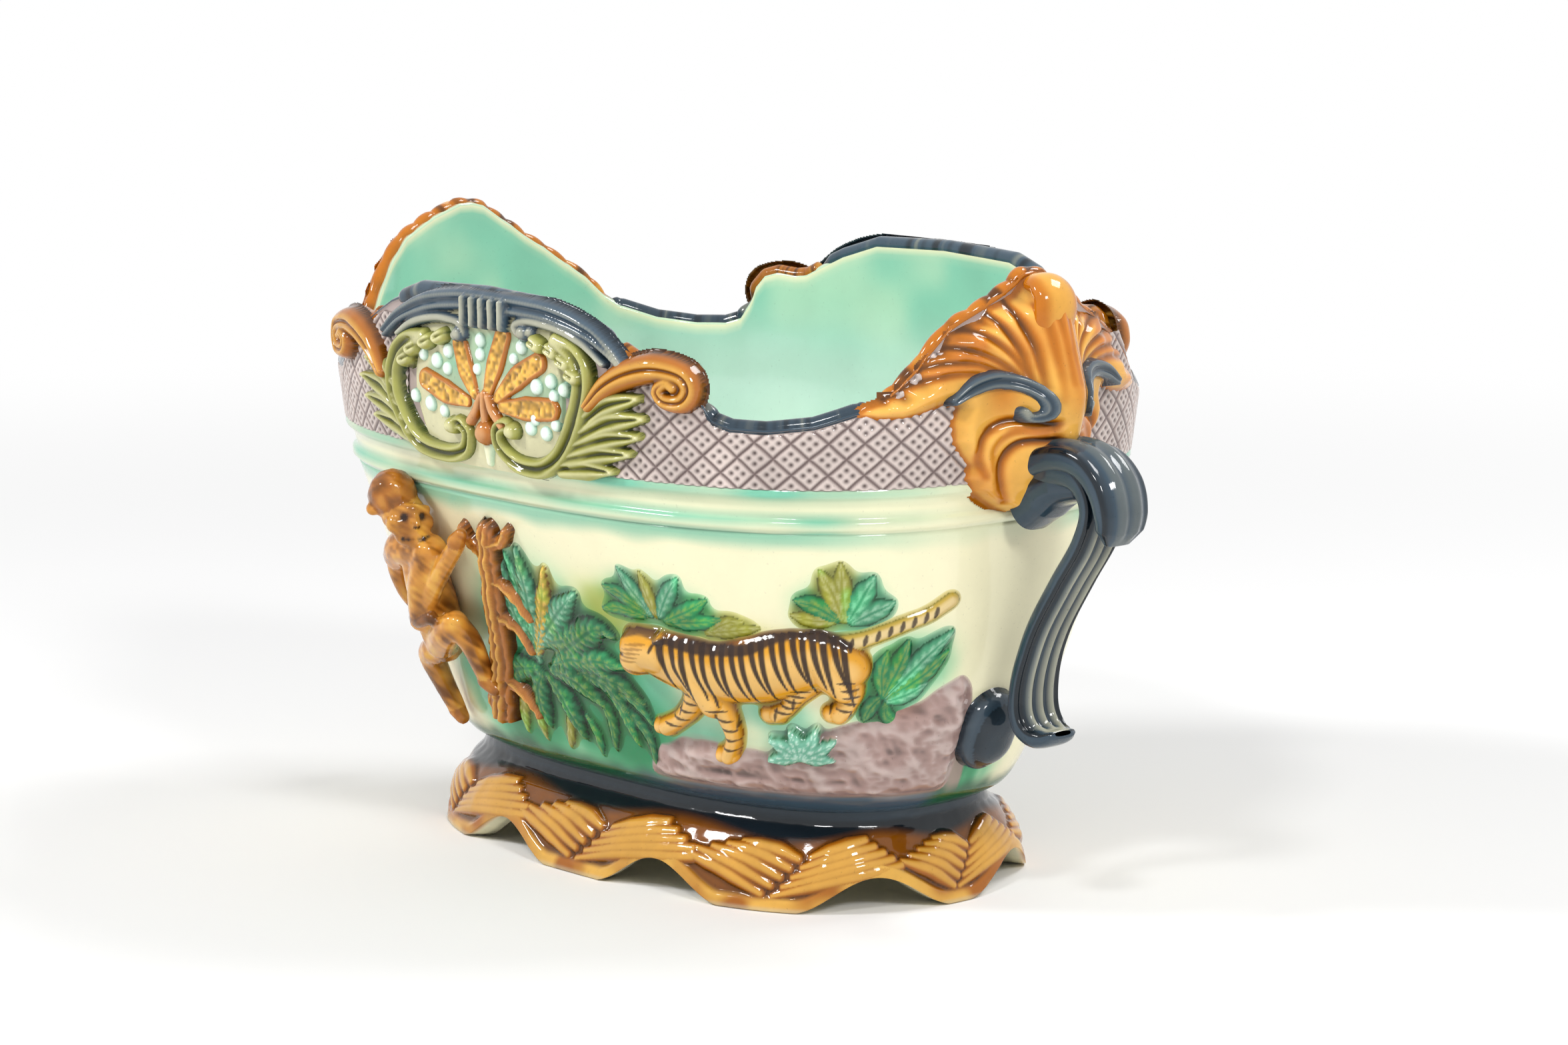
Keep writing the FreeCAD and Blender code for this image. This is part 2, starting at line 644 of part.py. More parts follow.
scroll_path_shares = (
    (0.15, 0.20), (0.17, 0.12), (0.26, 0.06), (0.40, 0.05), (0.53, 0.12), (0.63, 0.29),
    (0.69, 0.48), (0.69, 0.62), (0.60, 0.73), (0.46, 0.76))
scroll_girth_shares = (0.9, 0.85, 0.9, 1.0, 1.0, 1.0, 1.0, 1.0, 1.1, 0.9)
tail_path_shares = (
    ((0.66, 0.36), (0.86, 0.48), (1.05, 0.52)),
    ((0.62, 0.26), (0.82, 0.34), (1.0, 0.37)),
    ((0.57, 0.16), (0.76, 0.22), (0.93, 0.24)),
    ((0.50, 0.08), (0.66, 0.09), (0.82, 0.10)))
scroll_solids = [wall_stroke(
    cartouche_path(scroll_path_shares), size("scroll_girth"), size("scroll_girth"), scroll_girth_shares)]
for path_shares in tail_path_shares:
    scroll_solids.append(wall_stroke(
        cartouche_path(path_shares), size("scroll_leaf_girth"), size("scroll_girth"), (0.9, 1.0, 0.35)))
acanthus_front_right = seat_piece("acanthus_front_right", scroll_solids, band_seat)

pearl_place_shares = (
    (0.0, 0.69), (-0.33, 0.58), (-0.25, 0.62), (-0.42, 0.61), (0.39, 0.665),
    (0.47, 0.50), (0.54, 0.57), (0.57, 0.48), (-0.35, 0.25), (-0.27, 0.27), (0.34, 0.235), (0.42, 0.24))
pearls = []
for index, place in enumerate(cartouche_path(pearl_place_shares)):
    pearl_site, pearl_outward = wall_site(place[0], place[1])
    pearl = document.addObject("Part::Ellipsoid", "pearl_%d" % index)
    pearl.Angle1 = 0
    pearl.Angle2 = 90
    for radius_name in ("Radius1", "Radius2", "Radius3"):
        pearl.setExpression(radius_name, "sizes.pearl_radius")
    pearl.Placement = FreeCAD.Placement(pearl_site, FreeCAD.Rotation(Vector(0, 0, 1), pearl_outward))
    pearls.append(pearl)
pearls_front = document.addObject("Part::Compound", "pearls_front")
pearls_front.Links = pearls

# Volute at the right of the front frame
volute_turn_degrees = (172.0, 145.0, 110.0, 70.0, 25.0, -25.0, -75.0)
volute_reach_shares = (1.75, 1.35, 1.08, 1.0, 0.92, 0.8, 0.62)
volute_girth_shares = (0.7, 0.85, 1.0, 1.05, 1.05, 1.0, 0.9)
volute_path = []
for turn, reach_share in zip(volute_turn_degrees, volute_reach_shares):
    distance = volute_distance + volute_radius * reach_share * math.cos(math.radians(turn))
    height = volute_height + volute_radius * min(reach_share, 1.1) * math.sin(math.radians(turn))
    volute_path.append((front_bearing(distance, height), height))
volute_stroke = wall_stroke(
    volute_path, size("volute_girth"), size("volute_girth") * 1.3, volute_girth_shares)
volute_front_right = seat_piece("volute_front_right", [volute_stroke], band_seat)

# Rim bead along the low part of the rim, front right
bead_bearings = (-54.0, -50.0, -45.0, -39.0, -33.0, -30.0)
bead_path = []
for bearing in bead_bearings:
    x, y = oval_place(rim_half_length, rim_half_width, bearing)
    if x < dip_distance:
        climb_share = (dip_distance - x) / (dip_distance - volute_distance - volute_radius)
        height = dip_height + (volute_foot_height - dip_height) * min(climb_share, 1.0) ** 2
    else:
        climb_share = (dip_width + y) / (dip_width * (1.0 - end_width_shares[2]))
        height = dip_height + (leaf_height - dip_height) * end_height_shares[2] * min(climb_share, 1.0) ** 1.4
    bead_path.append((bearing, height - size("rim_bead_girth") * 0.6))
bead_stroke = wall_stroke(
    bead_path, size("rim_bead_girth"), size("rim_bead_girth"), (0.8, 1.0, 1.0, 1.0, 1.0, 0.8))
rim_bead_front_right = seat_piece("rim_bead_front_right", [bead_stroke], band_seat)

# Tiger, walking to the left
tiger_path = body_path((
    (-72.0, 0.54), (-69.0, 0.565), (-66.0, 0.56), (-62.0, 0.53), (-56.0, 0.505),
    (-50.0, 0.52), (-44.0, 0.555), (-38.5, 0.565), (-34.0, 0.545)))
tiger_solids = [wall_stroke(
    tiger_path, size("tiger_girth"), size("tiger_depth"),
    (0.5, 0.8, 0.78, 0.95, 0.92, 0.84, 0.98, 0.9, 0.5))]
tiger_leg_path_shares = (
    ((-61.0, 0.47), (-62.3, 0.35), (-67.5, 0.27)),
    ((-58.0, 0.45), (-55.5, 0.31), (-56.0, 0.205)),
    ((-36.0, 0.52), (-34.3, 0.44), (-37.5, 0.385)),
    ((-43.0, 0.50), (-44.8, 0.41), (-47.8, 0.365)))
for path_shares in tiger_leg_path_shares:
    tiger_solids.append(wall_stroke(
        body_path(path_shares), size("tiger_leg_girth"), size("tiger_depth"), (1.3, 1.0, 0.8)))
tiger_solids.append(wall_stroke(
    body_path(((-39.0, 0.635), (-33.5, 0.645), (-28.5, 0.67), (-23.5, 0.70), (-19.5, 0.717), (-15.0, 0.76))),
    size("tiger_tail_girth"), size("tiger_tail_girth"), (1.2, 1.1, 1.0, 1.0, 1.0, 0.5)))
tiger_front = seat_piece("tiger_front", tiger_solids, body_loft)

# Stump and the monkey that climbs it
stump_path = body_path(((-94.0, 0.86), (-96.5, 0.73), (-99.0, 0.55), (-102.0, 0.37), (-104.0, 0.26)))
stump_stroke = wall_stroke(
    stump_path, size("stump_girth"), size("stump_girth") * 1.3, (0.8, 0.95, 1.0, 1.05, 1.3))
stump_front = seat_piece("stump_front", [stump_stroke], body_loft)

monkey_lift = size("monkey_girth") * 0.7
monkey_solids = [wall_stroke(
    body_path(((-103.2, 0.91), (-106.0, 0.75), (-108.5, 0.63), (-111.0, 0.5), (-112.5, 0.42))),
    size("monkey_girth"), size("monkey_girth"), (0.8, 1.1, 1.0, 0.9, 0.8), monkey_lift)]
monkey_limb_path_shares = (
    ((-104.0, 0.79), (-99.0, 0.745), (-95.5, 0.80), (-94.0, 0.85)),
    ((-107.0, 0.80), (-113.0, 0.78), (-115.5, 0.68), (-116.5, 0.56)),
    ((-110.0, 0.47), (-104.0, 0.55), (-103.0, 0.47), (-103.5, 0.33)),
    ((-112.5, 0.46), (-116.5, 0.37), (-119.0, 0.27), (-122.0, 0.17)))
for path_shares in monkey_limb_path_shares:
    monkey_solids.append(wall_stroke(
        body_path(path_shares), size("monkey_limb_girth"), size("monkey_limb_girth"),
        (1.2, 1.1, 0.95, 0.8), size("monkey_limb_girth") * 0.9))
(head_bearing, head_height), = body_path(((-103.0, 0.95),))
head_site, head_outward = wall_site(head_bearing, head_height, size("monkey_girth") * 1.6)
monkey_head = egg(
    head_site, head_outward, size("monkey_head_half_width") * 1.15,
    size("monkey_head_half_width"), size("monkey_head_half_height"))
monkey_front = seat_piece("monkey_front", monkey_solids + [monkey_head], body_loft, [stump_front])

# Plants and rocks behind the animals
fern_path_shares = (
    ((-93.0, 0.42), (-94.0, 0.59), (-93.0, 0.75)),
    ((-92.5, 0.42), (-89.0, 0.64), (-87.5, 0.80)),
    ((-92.0, 0.44), (-86.0, 0.60), (-79.0, 0.71)),
    ((-94.0, 0.42), (-99.0, 0.36), (-106.0, 0.24)),
    ((-93.0, 0.42), (-94.0, 0.30), (-91.0, 0.19)),
    ((-91.5, 0.42), (-86.0, 0.42), (-80.0, 0.39)),
    ((-88.0, 0.43), (-83.0, 0.53), (-77.0, 0.62)),
    ((-83.0, 0.40), (-78.0, 0.32), (-74.0, 0.20)))
palm_path_shares = (
    ((-67.0, 0.675), (-70.0, 0.72), (-73.0, 0.76)),
    ((-66.0, 0.685), (-67.5, 0.76), (-69.0, 0.83)),
    ((-64.5, 0.685), (-64.5, 0.75), (-64.5, 0.82)),
    ((-63.0, 0.675), (-61.0, 0.73), (-59.0, 0.80)),
    ((-62.5, 0.685), (-56.0, 0.70), (-50.5, 0.70)))
bush_path_shares = (
    ((-35.5, 0.71), (-37.0, 0.79), (-39.0, 0.87)),
    ((-35.0, 0.71), (-35.0, 0.80), (-34.5, 0.90)),
    ((-34.0, 0.71), (-31.5, 0.78), (-29.5, 0.86)),
    ((-36.0, 0.725), (-39.0, 0.765), (-42.0, 0.80)),
    ((-28.0, 0.43), (-26.0, 0.54), (-23.5, 0.62)),
    ((-27.5, 0.44), (-21.0, 0.56), (-14.0, 0.64)),
    ((-27.0, 0.43), (-20.0, 0.50), (-15.0, 0.56)),
    ((-28.0, 0.44), (-29.3, 0.53), (-29.8, 0.60)),
    ((-27.5, 0.42), (-22.0, 0.44), (-17.5, 0.46)))
rock_path_shares = (
    ((-70.0, 0.15), (-62.0, 0.17), (-54.0, 0.15)),
    ((-58.0, 0.16), (-48.0, 0.24), (-38.0, 0.26)),
    ((-44.0, 0.22), (-33.0, 0.25), (-20.0, 0.23)),
    ((-36.0, 0.32), (-25.0, 0.37), (-15.0, 0.42)),
    ((-32.0, 0.29), (-24.0, 0.33), (-16.0, 0.30)))


def plant(name, paths, girth, end_shares, neighbours):
    """Relief piece of leaf or rock strokes, seated on the body."""
    solids = []
    for path_shares in paths:
        solids.append(wall_stroke(body_path(path_shares), girth, size("relief_depth"), end_shares))
    return seat_piece(name, solids, body_loft, neighbours)


fern_front = plant(
    "fern_front", fern_path_shares, size("fern_girth"), (0.7, 1.0, 0.4), [stump_front, monkey_front])
palm_front = plant("palm_front", palm_path_shares, size("palm_girth"), (0.8, 1.0, 0.5), [])
bush_front = plant("bush_front", bush_path_shares, size("bush_girth"), (0.8, 1.0, 0.4), [])
rocks_front = plant(
    "rocks_front", rock_path_shares, size("rock_girth"), (0.8, 1.0, 0.8),
    [tiger_front, bush_front, fern_front, handle_boss_right])
document.recompute()

# Mirrored and turned copies of the first pieces
half_turn = FreeCAD.Placement(Vector(0, 0, 0), FreeCAD.Rotation(Vector(0, 0, 1), 180))


def add_mirror(name, source, normal):
    mirror = document.addObject("Part::Mirroring", name)
    mirror.Source = source
    mirror.Base = Vector(0, 0, 0)
    mirror.Normal = normal
    return mirror


def add_turned(name, source):
    turned = document.addObject("Part::Feature", name)
    turned.Shape = Part.Compound(source.Shape.Solids)
    turned.Placement = half_turn.multiply(turned.Placement)
    return turned


acanthus_front_left = add_mirror("acanthus_front_left", acanthus_front_right, Vector(1, 0, 0))
volute_front_left = add_mirror("volute_front_left", volute_front_right, Vector(1, 0, 0))
rim_bead_front_left = add_mirror("rim_bead_front_left", rim_bead_front_right, Vector(1, 0, 0))
leaf_scroll_right_back = add_mirror("leaf_scroll_right_back", leaf_scroll_right_front, Vector(0, 1, 0))
document.recompute()

pieces = {
    "vessel": vessel,
    "foot": foot,
    "handle_right": handle_right,
    "handle_boss_right": handle_boss_right,
    "end_leaf_right": end_leaf_right,
    "leaf_scroll_right_front": leaf_scroll_right_front,
    "leaf_scroll_right_back": leaf_scroll_right_back,
    "cartouche_frame_front": cartouche_frame_front,
    "palmette_front": palmette_front,
    "acanthus_front_right": acanthus_front_right,
    "acanthus_front_left": acanthus_front_left,
    "pearls_front": pearls_front,
    "volute_front_right": volute_front_right,
    "volute_front_left": volute_front_left,
    "rim_bead_front_right": rim_bead_front_right,
    "rim_bead_front_left": rim_bead_front_left,
    "tiger_front": tiger_front,
    "monkey_front": monkey_front,
    "stump_front": stump_front,
    "fern_front": fern_front,
    "palm_front": palm_front,
    "bush_front": bush_front,
    "rocks_front": rocks_front}
turned_names = {
    "handle_left": "handle_right",
    "handle_boss_left": "handle_boss_right",
    "end_leaf_left": "end_leaf_right",
    "leaf_scroll_left_back": "leaf_scroll_right_front",
    "leaf_scroll_left_front": "leaf_scroll_right_back",
    "cartouche_frame_back": "cartouche_frame_front",
    "palmette_back": "palmette_front",
    "acanthus_back_left": "acanthus_front_right",
    "acanthus_back_right": "acanthus_front_left",
    "pearls_back": "pearls_front",
    "volute_back_left": "volute_front_right",
    "volute_back_right": "volute_front_left",
    "rim_bead_back_left": "rim_bead_front_right",
    "rim_bead_back_right": "rim_bead_front_left",
    "tiger_back": "tiger_front",
    "monkey_back": "monkey_front",
    "stump_back": "stump_front",
    "fern_back": "fern_front",
    "palm_back": "palm_front",
    "bush_back": "bush_front",
    "rocks_back": "rocks_front"}
for name, source_name in turned_names.items():
    pieces[name] = add_turned(name, pieces[source_name])
document.recompute()

# Every object must stand before anything is written
for item in document.Objects:
    if "Invalid" in item.State or "Error" in item.State:
        raise RuntimeError("%s did not build" % item.Name)
os.makedirs("parts", exist_ok=True)
for name, piece in pieces.items():
    piece.Label = name
    if piece.Shape.isNull() or not piece.Shape.isValid() or not piece.Shape.Solids:
        raise RuntimeError("%s is not a sound solid" % name)
    piece.Shape.exportStep("parts/%s.step" % name)
    print(name, len(piece.Shape.Solids), round(piece.Shape.Volume, 1))
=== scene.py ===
"""An oval majolica planter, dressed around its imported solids: one operator for each group of pieces."""

import math

import bmesh
import bpy
import numpy as np
from bpy.props import FloatProperty, FloatVectorProperty, PointerProperty
from bpy.types import Operator, Panel, PropertyGroup
from mathutils import Matrix, Vector


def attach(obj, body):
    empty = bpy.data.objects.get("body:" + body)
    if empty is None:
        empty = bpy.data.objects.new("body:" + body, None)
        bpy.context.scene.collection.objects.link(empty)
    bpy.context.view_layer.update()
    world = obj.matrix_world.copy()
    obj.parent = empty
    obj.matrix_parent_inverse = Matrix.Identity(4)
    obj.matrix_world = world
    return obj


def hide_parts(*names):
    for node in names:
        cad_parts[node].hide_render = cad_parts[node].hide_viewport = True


bl_info = {
    "name": "Majolica planter",
    "version": (1, 0, 0),
    "blender": (4, 5, 0),
    "location": "3D View > Sidebar > Planter",
    "description": "Builds a glazed oval planter around its packed solids",
    "category": "Object",
}

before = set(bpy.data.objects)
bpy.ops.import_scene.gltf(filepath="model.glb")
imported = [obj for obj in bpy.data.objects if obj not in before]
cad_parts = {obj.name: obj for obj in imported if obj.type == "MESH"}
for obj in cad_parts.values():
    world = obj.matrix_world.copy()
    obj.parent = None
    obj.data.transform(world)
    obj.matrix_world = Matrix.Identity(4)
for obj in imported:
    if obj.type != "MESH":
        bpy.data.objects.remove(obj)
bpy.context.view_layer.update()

METRES = 0.001


def from_screen(red, green, blue):
    """Linear colour of a screen colour given in steps of 255."""
    shares = np.array((red, green, blue)) / 255.0
    return tuple(np.where(shares <= 0.04045, shares / 12.92, ((shares + 0.055) / 1.055) ** 2.4))


def glaze_property(label, words, screen):
    """Colour property of one glaze."""
    return FloatVectorProperty(
        name=label, description=words, subtype="COLOR", size=3, min=0.0, max=1.0,
        default=from_screen(*screen))


class PlanterGlazes(PropertyGroup):
    """Colours of the glazes."""
    cream: glaze_property("Cream", "Ground of the body", (250, 244, 206))
    turquoise: glaze_property("Turquoise", "Moulding under the band", (124, 198, 168))
    mint: glaze_property("Mint", "Inside of the bowl", (152, 214, 188))
    blush: glaze_property("Blush", "Ground of the trellis", (230, 214, 206))
    mauve: glaze_property("Mauve", "Trellis and rocks", (139, 112, 110))
    slate: glaze_property("Slate blue", "Handles, frames and collar", (54, 72, 86))
    honey: glaze_property("Honey", "Leaves, volutes and foot", (194, 112, 8))
    # Gold also serves as the painted highlight on the crests of the honey, amber and bark reliefs.
    gold: glaze_property("Gold", "Honey glaze where it runs thin", (240, 184, 80))
    brown: glaze_property("Brown", "Monkeys and stumps", (178, 108, 36))
    amber: glaze_property("Amber", "Tigers", (222, 156, 30))
    stripe: glaze_property("Stripe", "Stripes of the tigers", (44, 24, 12))
    leaf: glaze_property("Leaf green", "Ferns and bushes", (28, 128, 78))
    moss: glaze_property("Moss", "Yellow-green leaves and scrolls", (160, 160, 52))
    pearl: glaze_property("Pearl", "Pearls of the cartouche", (214, 236, 222))


class PlanterSizes(PropertyGroup):
    """Sizes of the visual model, in millimetres."""
    relief_step: FloatProperty(
        name="Relief step", description="Grid step of the reliefs", default=0.55, min=0.3, max=2.0)
    fine_step: FloatProperty(
        name="Fine step", description="Grid step of the finest reliefs", default=0.42, min=0.25, max=2.0)
    clay_voxel: FloatProperty(
        name="Clay voxel", description="Voxel of the rounded figures", default=0.8, min=0.4, max=3.0)
    wall_thickness: FloatProperty(
        name="Wall", description="Thickness of the wall", default=7.0, min=4.0, max=12.0)


# Outline of the body, in millimetres
PLAN_POWER = 2.6
BODY_BOTTOM = 36.0
SHOULDER = 150.0
MOULDING = 16.5
BAND_FOOT = SHOULDER + MOULDING
DIP_HEIGHT = 187.5
FLOOR_TOP = 45.0
HEEL = (122.0, 64.0)
SHOULDER_HALVES = (163.0, 115.5)
BAND_HALVES = (167.5, 120.0)
RIM_HALVES = (170.0, 122.5)
LEVEL_SHARES = (0.0, 0.035, 0.096, 0.193, 0.333, 0.649, 1.0)
LENGTH_SHARES = (0.0, 0.16, 0.28, 0.415, 0.585, 0.805, 1.0)
WIDTH_SHARES = (0.0, 0.123, 0.198, 0.274, 0.387, 0.689, 1.0)
MOULDING_SHARES = (0.0, 0.12, 0.26, 0.36, 0.62, 0.82, 0.84, 1.0)
REACH_SHARES = (0.0, 0.45, 0.45, 0.1, 0.3, 0.75, 1.0, 1.0)
FOOT_TOP = (120.5, 62.5)
FOOT_BASE = (132.0, 80.0)
FOOT_LEVEL_SHARES = (0.0, 0.39, 0.72, 0.86, 1.0)
FOOT_LENGTH_SHARES = (1.0, 0.78, 0.3, 0.05, 0.0)
FOOT_WIDTH_SHARES = (1.0, 0.86, 0.51, 0.14, 0.0)
ARCH_BEARINGS = (25.0, 70.0, 110.0, 155.0, 205.0, 250.0, 290.0, 335.0)

# Height of the rim against the bearing from the nearer end
RIM_LINE = (
    (0, 241.5), (3, 241.5), (10, 237), (17.8, 229.5), (22.4, 220.5), (26.2, 210), (29.2, 200.5),
    (32.3, 195), (38.8, 189.8), (45.3, 187.8), (50, 188.2), (52.5, 190.5), (54.3, 198), (55, 204),
    (56.5, 209), (58.6, 210.8), (61.5, 210), (63.4, 210.6), (66, 214.5), (70, 220), (76.4, 226),
    (90, 227.5))

# How much lower the rim is behind the leaves
RIM_DROP_BEHIND = (
    (0, 0), (3, 1.5), (8, 5), (13, 8), (18, 9.5), (22, 8), (26, 3.5), (29, 1), (33, 0))

# How much lower the rim is in front of the right end
RIM_DROP_RIGHT = (
    (0, 0), (2, 0.5), (4.3, 3), (7.7, 4.6), (10.9, 5.6), (15.5, 5.6), (19.6, 6.6), (23.4, 8), (26.5, 6),
    (29.2, 2.5), (33, 0))


def smooth_line(places, table_places, table_values):
    """Values at some places of a smooth curve through a table that has no overshoot."""
    knots = np.asarray(table_places, float)
    values = np.asarray(table_values, float)
    places = np.asarray(places, float)
    steps = np.diff(knots)
    slopes = np.diff(values) / steps
    tangents = np.empty_like(values)
    product = slopes[:-1] * slopes[1:]
    total = slopes[:-1] + slopes[1:]
    total[total == 0] = 1.0
    tangents[1:-1] = np.where(product > 0, 2 * product / total, 0.0)
    tangents[0] = slopes[0]
    tangents[-1] = slopes[-1]
    index = np.clip(np.searchsorted(knots, places) - 1, 0, len(steps) - 1)
    step = steps[index]
    t = np.clip((places - knots[index]) / step, 0.0, 1.0)
    return (
        values[index] * (1 + 2 * t) * (1 - t) ** 2 + tangents[index] * step * t * (1 - t) ** 2
        + values[index + 1] * t * t * (3 - 2 * t) + tangents[index + 1] * step * t * t * (t - 1))


def run_lengths(points):
    """Lengths from the first of some points along the line through them."""
    return np.concatenate(([0.0], np.cumsum(np.linalg.norm(np.diff(points, axis=0), axis=1))))


def unit(vectors):
    """Vectors brought to length 1."""
    return vectors / np.maximum(np.linalg.norm(vectors, axis=-1, keepdims=True), 1e-9)


def mixed(low, high, share):
    """Blend of two colours, or of arrays of colours, by the share of the second."""
    share = np.asarray(share, float)[..., None]
    return np.asarray(low) * (1 - share) + np.asarray(high) * share


def stained(ground, colour, share):
    """Ground under a clear coloured glaze of some strength."""
    faint = 0.004
    return np.maximum(ground, faint) ** (1 - share) * np.maximum(colour, faint) ** share


def ease(low, high, value):
    """Smooth step from 0 at low to 1 at high."""
    t = np.clip((np.asarray(value, float) - low) / (high - low), 0.0, 1.0)
    return t * t * (3 - 2 * t)


def wall_halves(height):
    """Half length and half width of the outer wall at some heights."""
    height = np.asarray(height, float)
    levels = BODY_BOTTOM + (SHOULDER - BODY_BOTTOM) * np.array(LEVEL_SHARES)
    halves = []
    for side, shares in enumerate((LENGTH_SHARES, WIDTH_SHARES)):
        body = HEEL[side] + (SHOULDER_HALVES[side] - HEEL[side]) * np.array(shares)
        band = np.interp(height, (SHOULDER, BAND_FOOT, DIP_HEIGHT), (
            SHOULDER_HALVES[side], BAND_HALVES[side], RIM_HALVES[side]))
        halves.append(np.where(height < SHOULDER, smooth_line(height, levels, body), band))
    return halves


def oval(half_length, half_width, bearing, height):
    """Points of a full oval; the bearing is 0 at the right end and -90 at the front."""
    across = np.cos(np.radians(bearing))
    along = np.sin(np.radians(bearing))
    reach = (np.abs(across) ** PLAN_POWER + np.abs(along) ** PLAN_POWER) ** (-1.0 / PLAN_POWER)
    height = np.broadcast_to(height, np.shape(reach * half_length))
    return np.stack((half_length * across * reach, half_width * along * reach, height), axis=-1)


def wall(bearing, height):
    """Points of the outer wall."""
    half_length, half_width = wall_halves(height)
    return oval(half_length, half_width, bearing, height)


def foot_wall(bearing, height):
    """Points of the outside of the foot."""
    levels = BODY_BOTTOM * np.array(FOOT_LEVEL_SHARES)
    halves = []
    for side, shares in enumerate((FOOT_LENGTH_SHARES, FOOT_WIDTH_SHARES)):
        profile = FOOT_TOP[side] + (FOOT_BASE[side] - FOOT_TOP[side]) * np.array(shares)
        halves.append(smooth_line(height, levels, profile))
    return oval(halves[0], halves[1], bearing, height)


def wall_site(bearing, height, lift):
    """One point at some distance outside the wall, and the outward direction there."""
    nudge = 0.05
    middle = wall(np.array([bearing]), np.array([height]))[0]
    along = wall(np.array([bearing + nudge]), np.array([height]))[0] - middle
    up = wall(np.array([bearing]), np.array([height + nudge]))[0] - middle
    outward = unit(np.cross(along, up))
    return middle + outward * lift, outward


def rim_height(bearing):
    """Height of the rim at some bearings."""
    folded = np.abs((np.asarray(bearing, float) + 90.0) % 180.0 - 90.0)
    turn = np.radians(np.asarray(bearing, float))
    behind = np.sin(turn) > 0
    right = (np.sin(turn) <= 0) & (np.cos(turn) > 0)
    return (
        np.interp(folded, *zip(*RIM_LINE)) - behind * np.interp(folded, *zip(*RIM_DROP_BEHIND))
        - right * np.interp(folded, *zip(*RIM_DROP_RIGHT)))


def grain(u, v, size, seed, columns=64):
    """Smooth random values from 0 to 1 over two coordinates."""
    cells = 64
    lattice = np.random.default_rng(seed).random((cells, columns))
    x = np.asarray(u, float) / size
    y = np.asarray(v, float) / size
    column = np.floor(x).astype(int)
    row = np.floor(y).astype(int)
    across = ease(0, 1, x - column)
    up = ease(0, 1, y - row)
    beside = (column + 1) % columns
    column = column % columns
    low = lattice[row % cells, column] * (1 - across) + lattice[row % cells, beside] * across
    high = lattice[(row + 1) % cells, column] * (1 - across) + lattice[(row + 1) % cells, beside] * across
    return low * (1 - up) + high * up


def around(bearing, height, size, seed):
    """Smooth random values over the wall that meet after a full turn."""
    wall_round = 864.0
    columns = int(wall_round / size)
    return grain(np.asarray(bearing, float) / 360.0 * columns * size, height, size, seed, columns)


def curve_through(points, count):
    """Smooth curve through some points, evenly spaced."""
    points = np.asarray(points, float)
    if len(points) == 2:
        share = np.linspace(0, 1, count)[:, None]
        return points[0] * (1 - share) + points[1] * share
    padded = np.vstack((2 * points[0] - points[1], points, 2 * points[-1] - points[-2]))
    pieces = []
    fine = np.linspace(0, 1, 12, endpoint=False)[:, None]
    for index in range(len(points) - 1):
        before, start, end, after = padded[index:index + 4]
        pieces.append(0.5 * (
            2 * start + (end - before) * fine + (2 * before - 5 * start + 4 * end - after) * fine ** 2
            + (3 * start - before - 3 * end + after) * fine ** 3))
    line = np.vstack(pieces + [points[-1:]])
    runs = run_lengths(line)
    wanted = np.linspace(0, runs[-1], count)
    return np.column_stack([np.interp(wanted, runs, line[:, axis]) for axis in range(line.shape[1])])


def along_shares(shares, count):
    """Shares spread evenly over a number of places."""
    return np.interp(np.linspace(0, 1, count), np.linspace(0, 1, len(shares)), shares)


def blurred(field, passes):
    """Field softened by its neighbours."""
    for _ in range(passes):
        padded = np.pad(field, 1, mode="edge")
        field = (padded[:-2, 1:-1] + 2 * field + padded[2:, 1:-1]) / 4
        padded = np.pad(field, 1, mode="edge")
        field = (padded[1:-1, :-2] + 2 * field + padded[1:-1, 2:]) / 4
    return field


def neighbour_sum(field):
    """Sum of each cell of a field and the eight cells around it."""
    padded = np.pad(field, ((1, 1), (1, 1)) + ((0, 0),) * (field.ndim - 2))
    rows, columns = field.shape[:2]
    return sum(padded[i:i + rows, j:j + columns] for i in range(3) for j in range(3))


def spread(field, cells):
    """Field averaged over squares of cells, twice for a soft edge."""
    for axis in (0, 1, 0, 1):
        pads = [(0, 0)] * field.ndim
        pads[axis] = (cells + 1, cells)
        sums = np.cumsum(np.pad(field, pads, mode="edge"), axis=axis)
        ahead = np.take(sums, np.arange(2 * cells + 1, sums.shape[axis]), axis=axis)
        behind = np.take(sums, np.arange(0, sums.shape[axis] - 2 * cells - 1), axis=axis)
        field = (ahead - behind) / (2 * cells + 1)
    return field


def grid_normals(points):
    """Outward directions over a grid of points whose rows rise and whose columns go round to the left."""
    along = np.gradient(points, axis=1)
    up = np.gradient(points, axis=0)
    return unit(np.cross(along, up))


def new_mesh(name, points, quads, paint):
    """Mesh in metres from points in millimetres, with the painted glaze as an attribute."""
    mesh = bpy.data.meshes.new(name)
    mesh.vertices.add(len(points))
    mesh.vertices.foreach_set("co", (np.asarray(points, np.float32) * METRES).ravel())
    mesh.loops.add(quads.size)
    mesh.loops.foreach_set("vertex_index", quads.astype(np.int32).ravel())
    mesh.polygons.add(len(quads))
    mesh.polygons.foreach_set("loop_start", np.arange(0, quads.size, quads.shape[1], dtype=np.int32))
    mesh.update(calc_edges=True)
    mesh.validate()
    set_paint(mesh, paint)
    return mesh


def set_paint(mesh, paint):
    """Store the painted glaze on a mesh and shade it smooth."""
    layer = mesh.color_attributes.new("paint", "FLOAT_COLOR", "POINT")
    colours = np.ones((len(mesh.vertices), 4), np.float32)
    colours[:, :3] = np.clip(paint, 0.0, 1.0)
    layer.data.foreach_set("color", colours.ravel())
    mesh.shade_smooth()


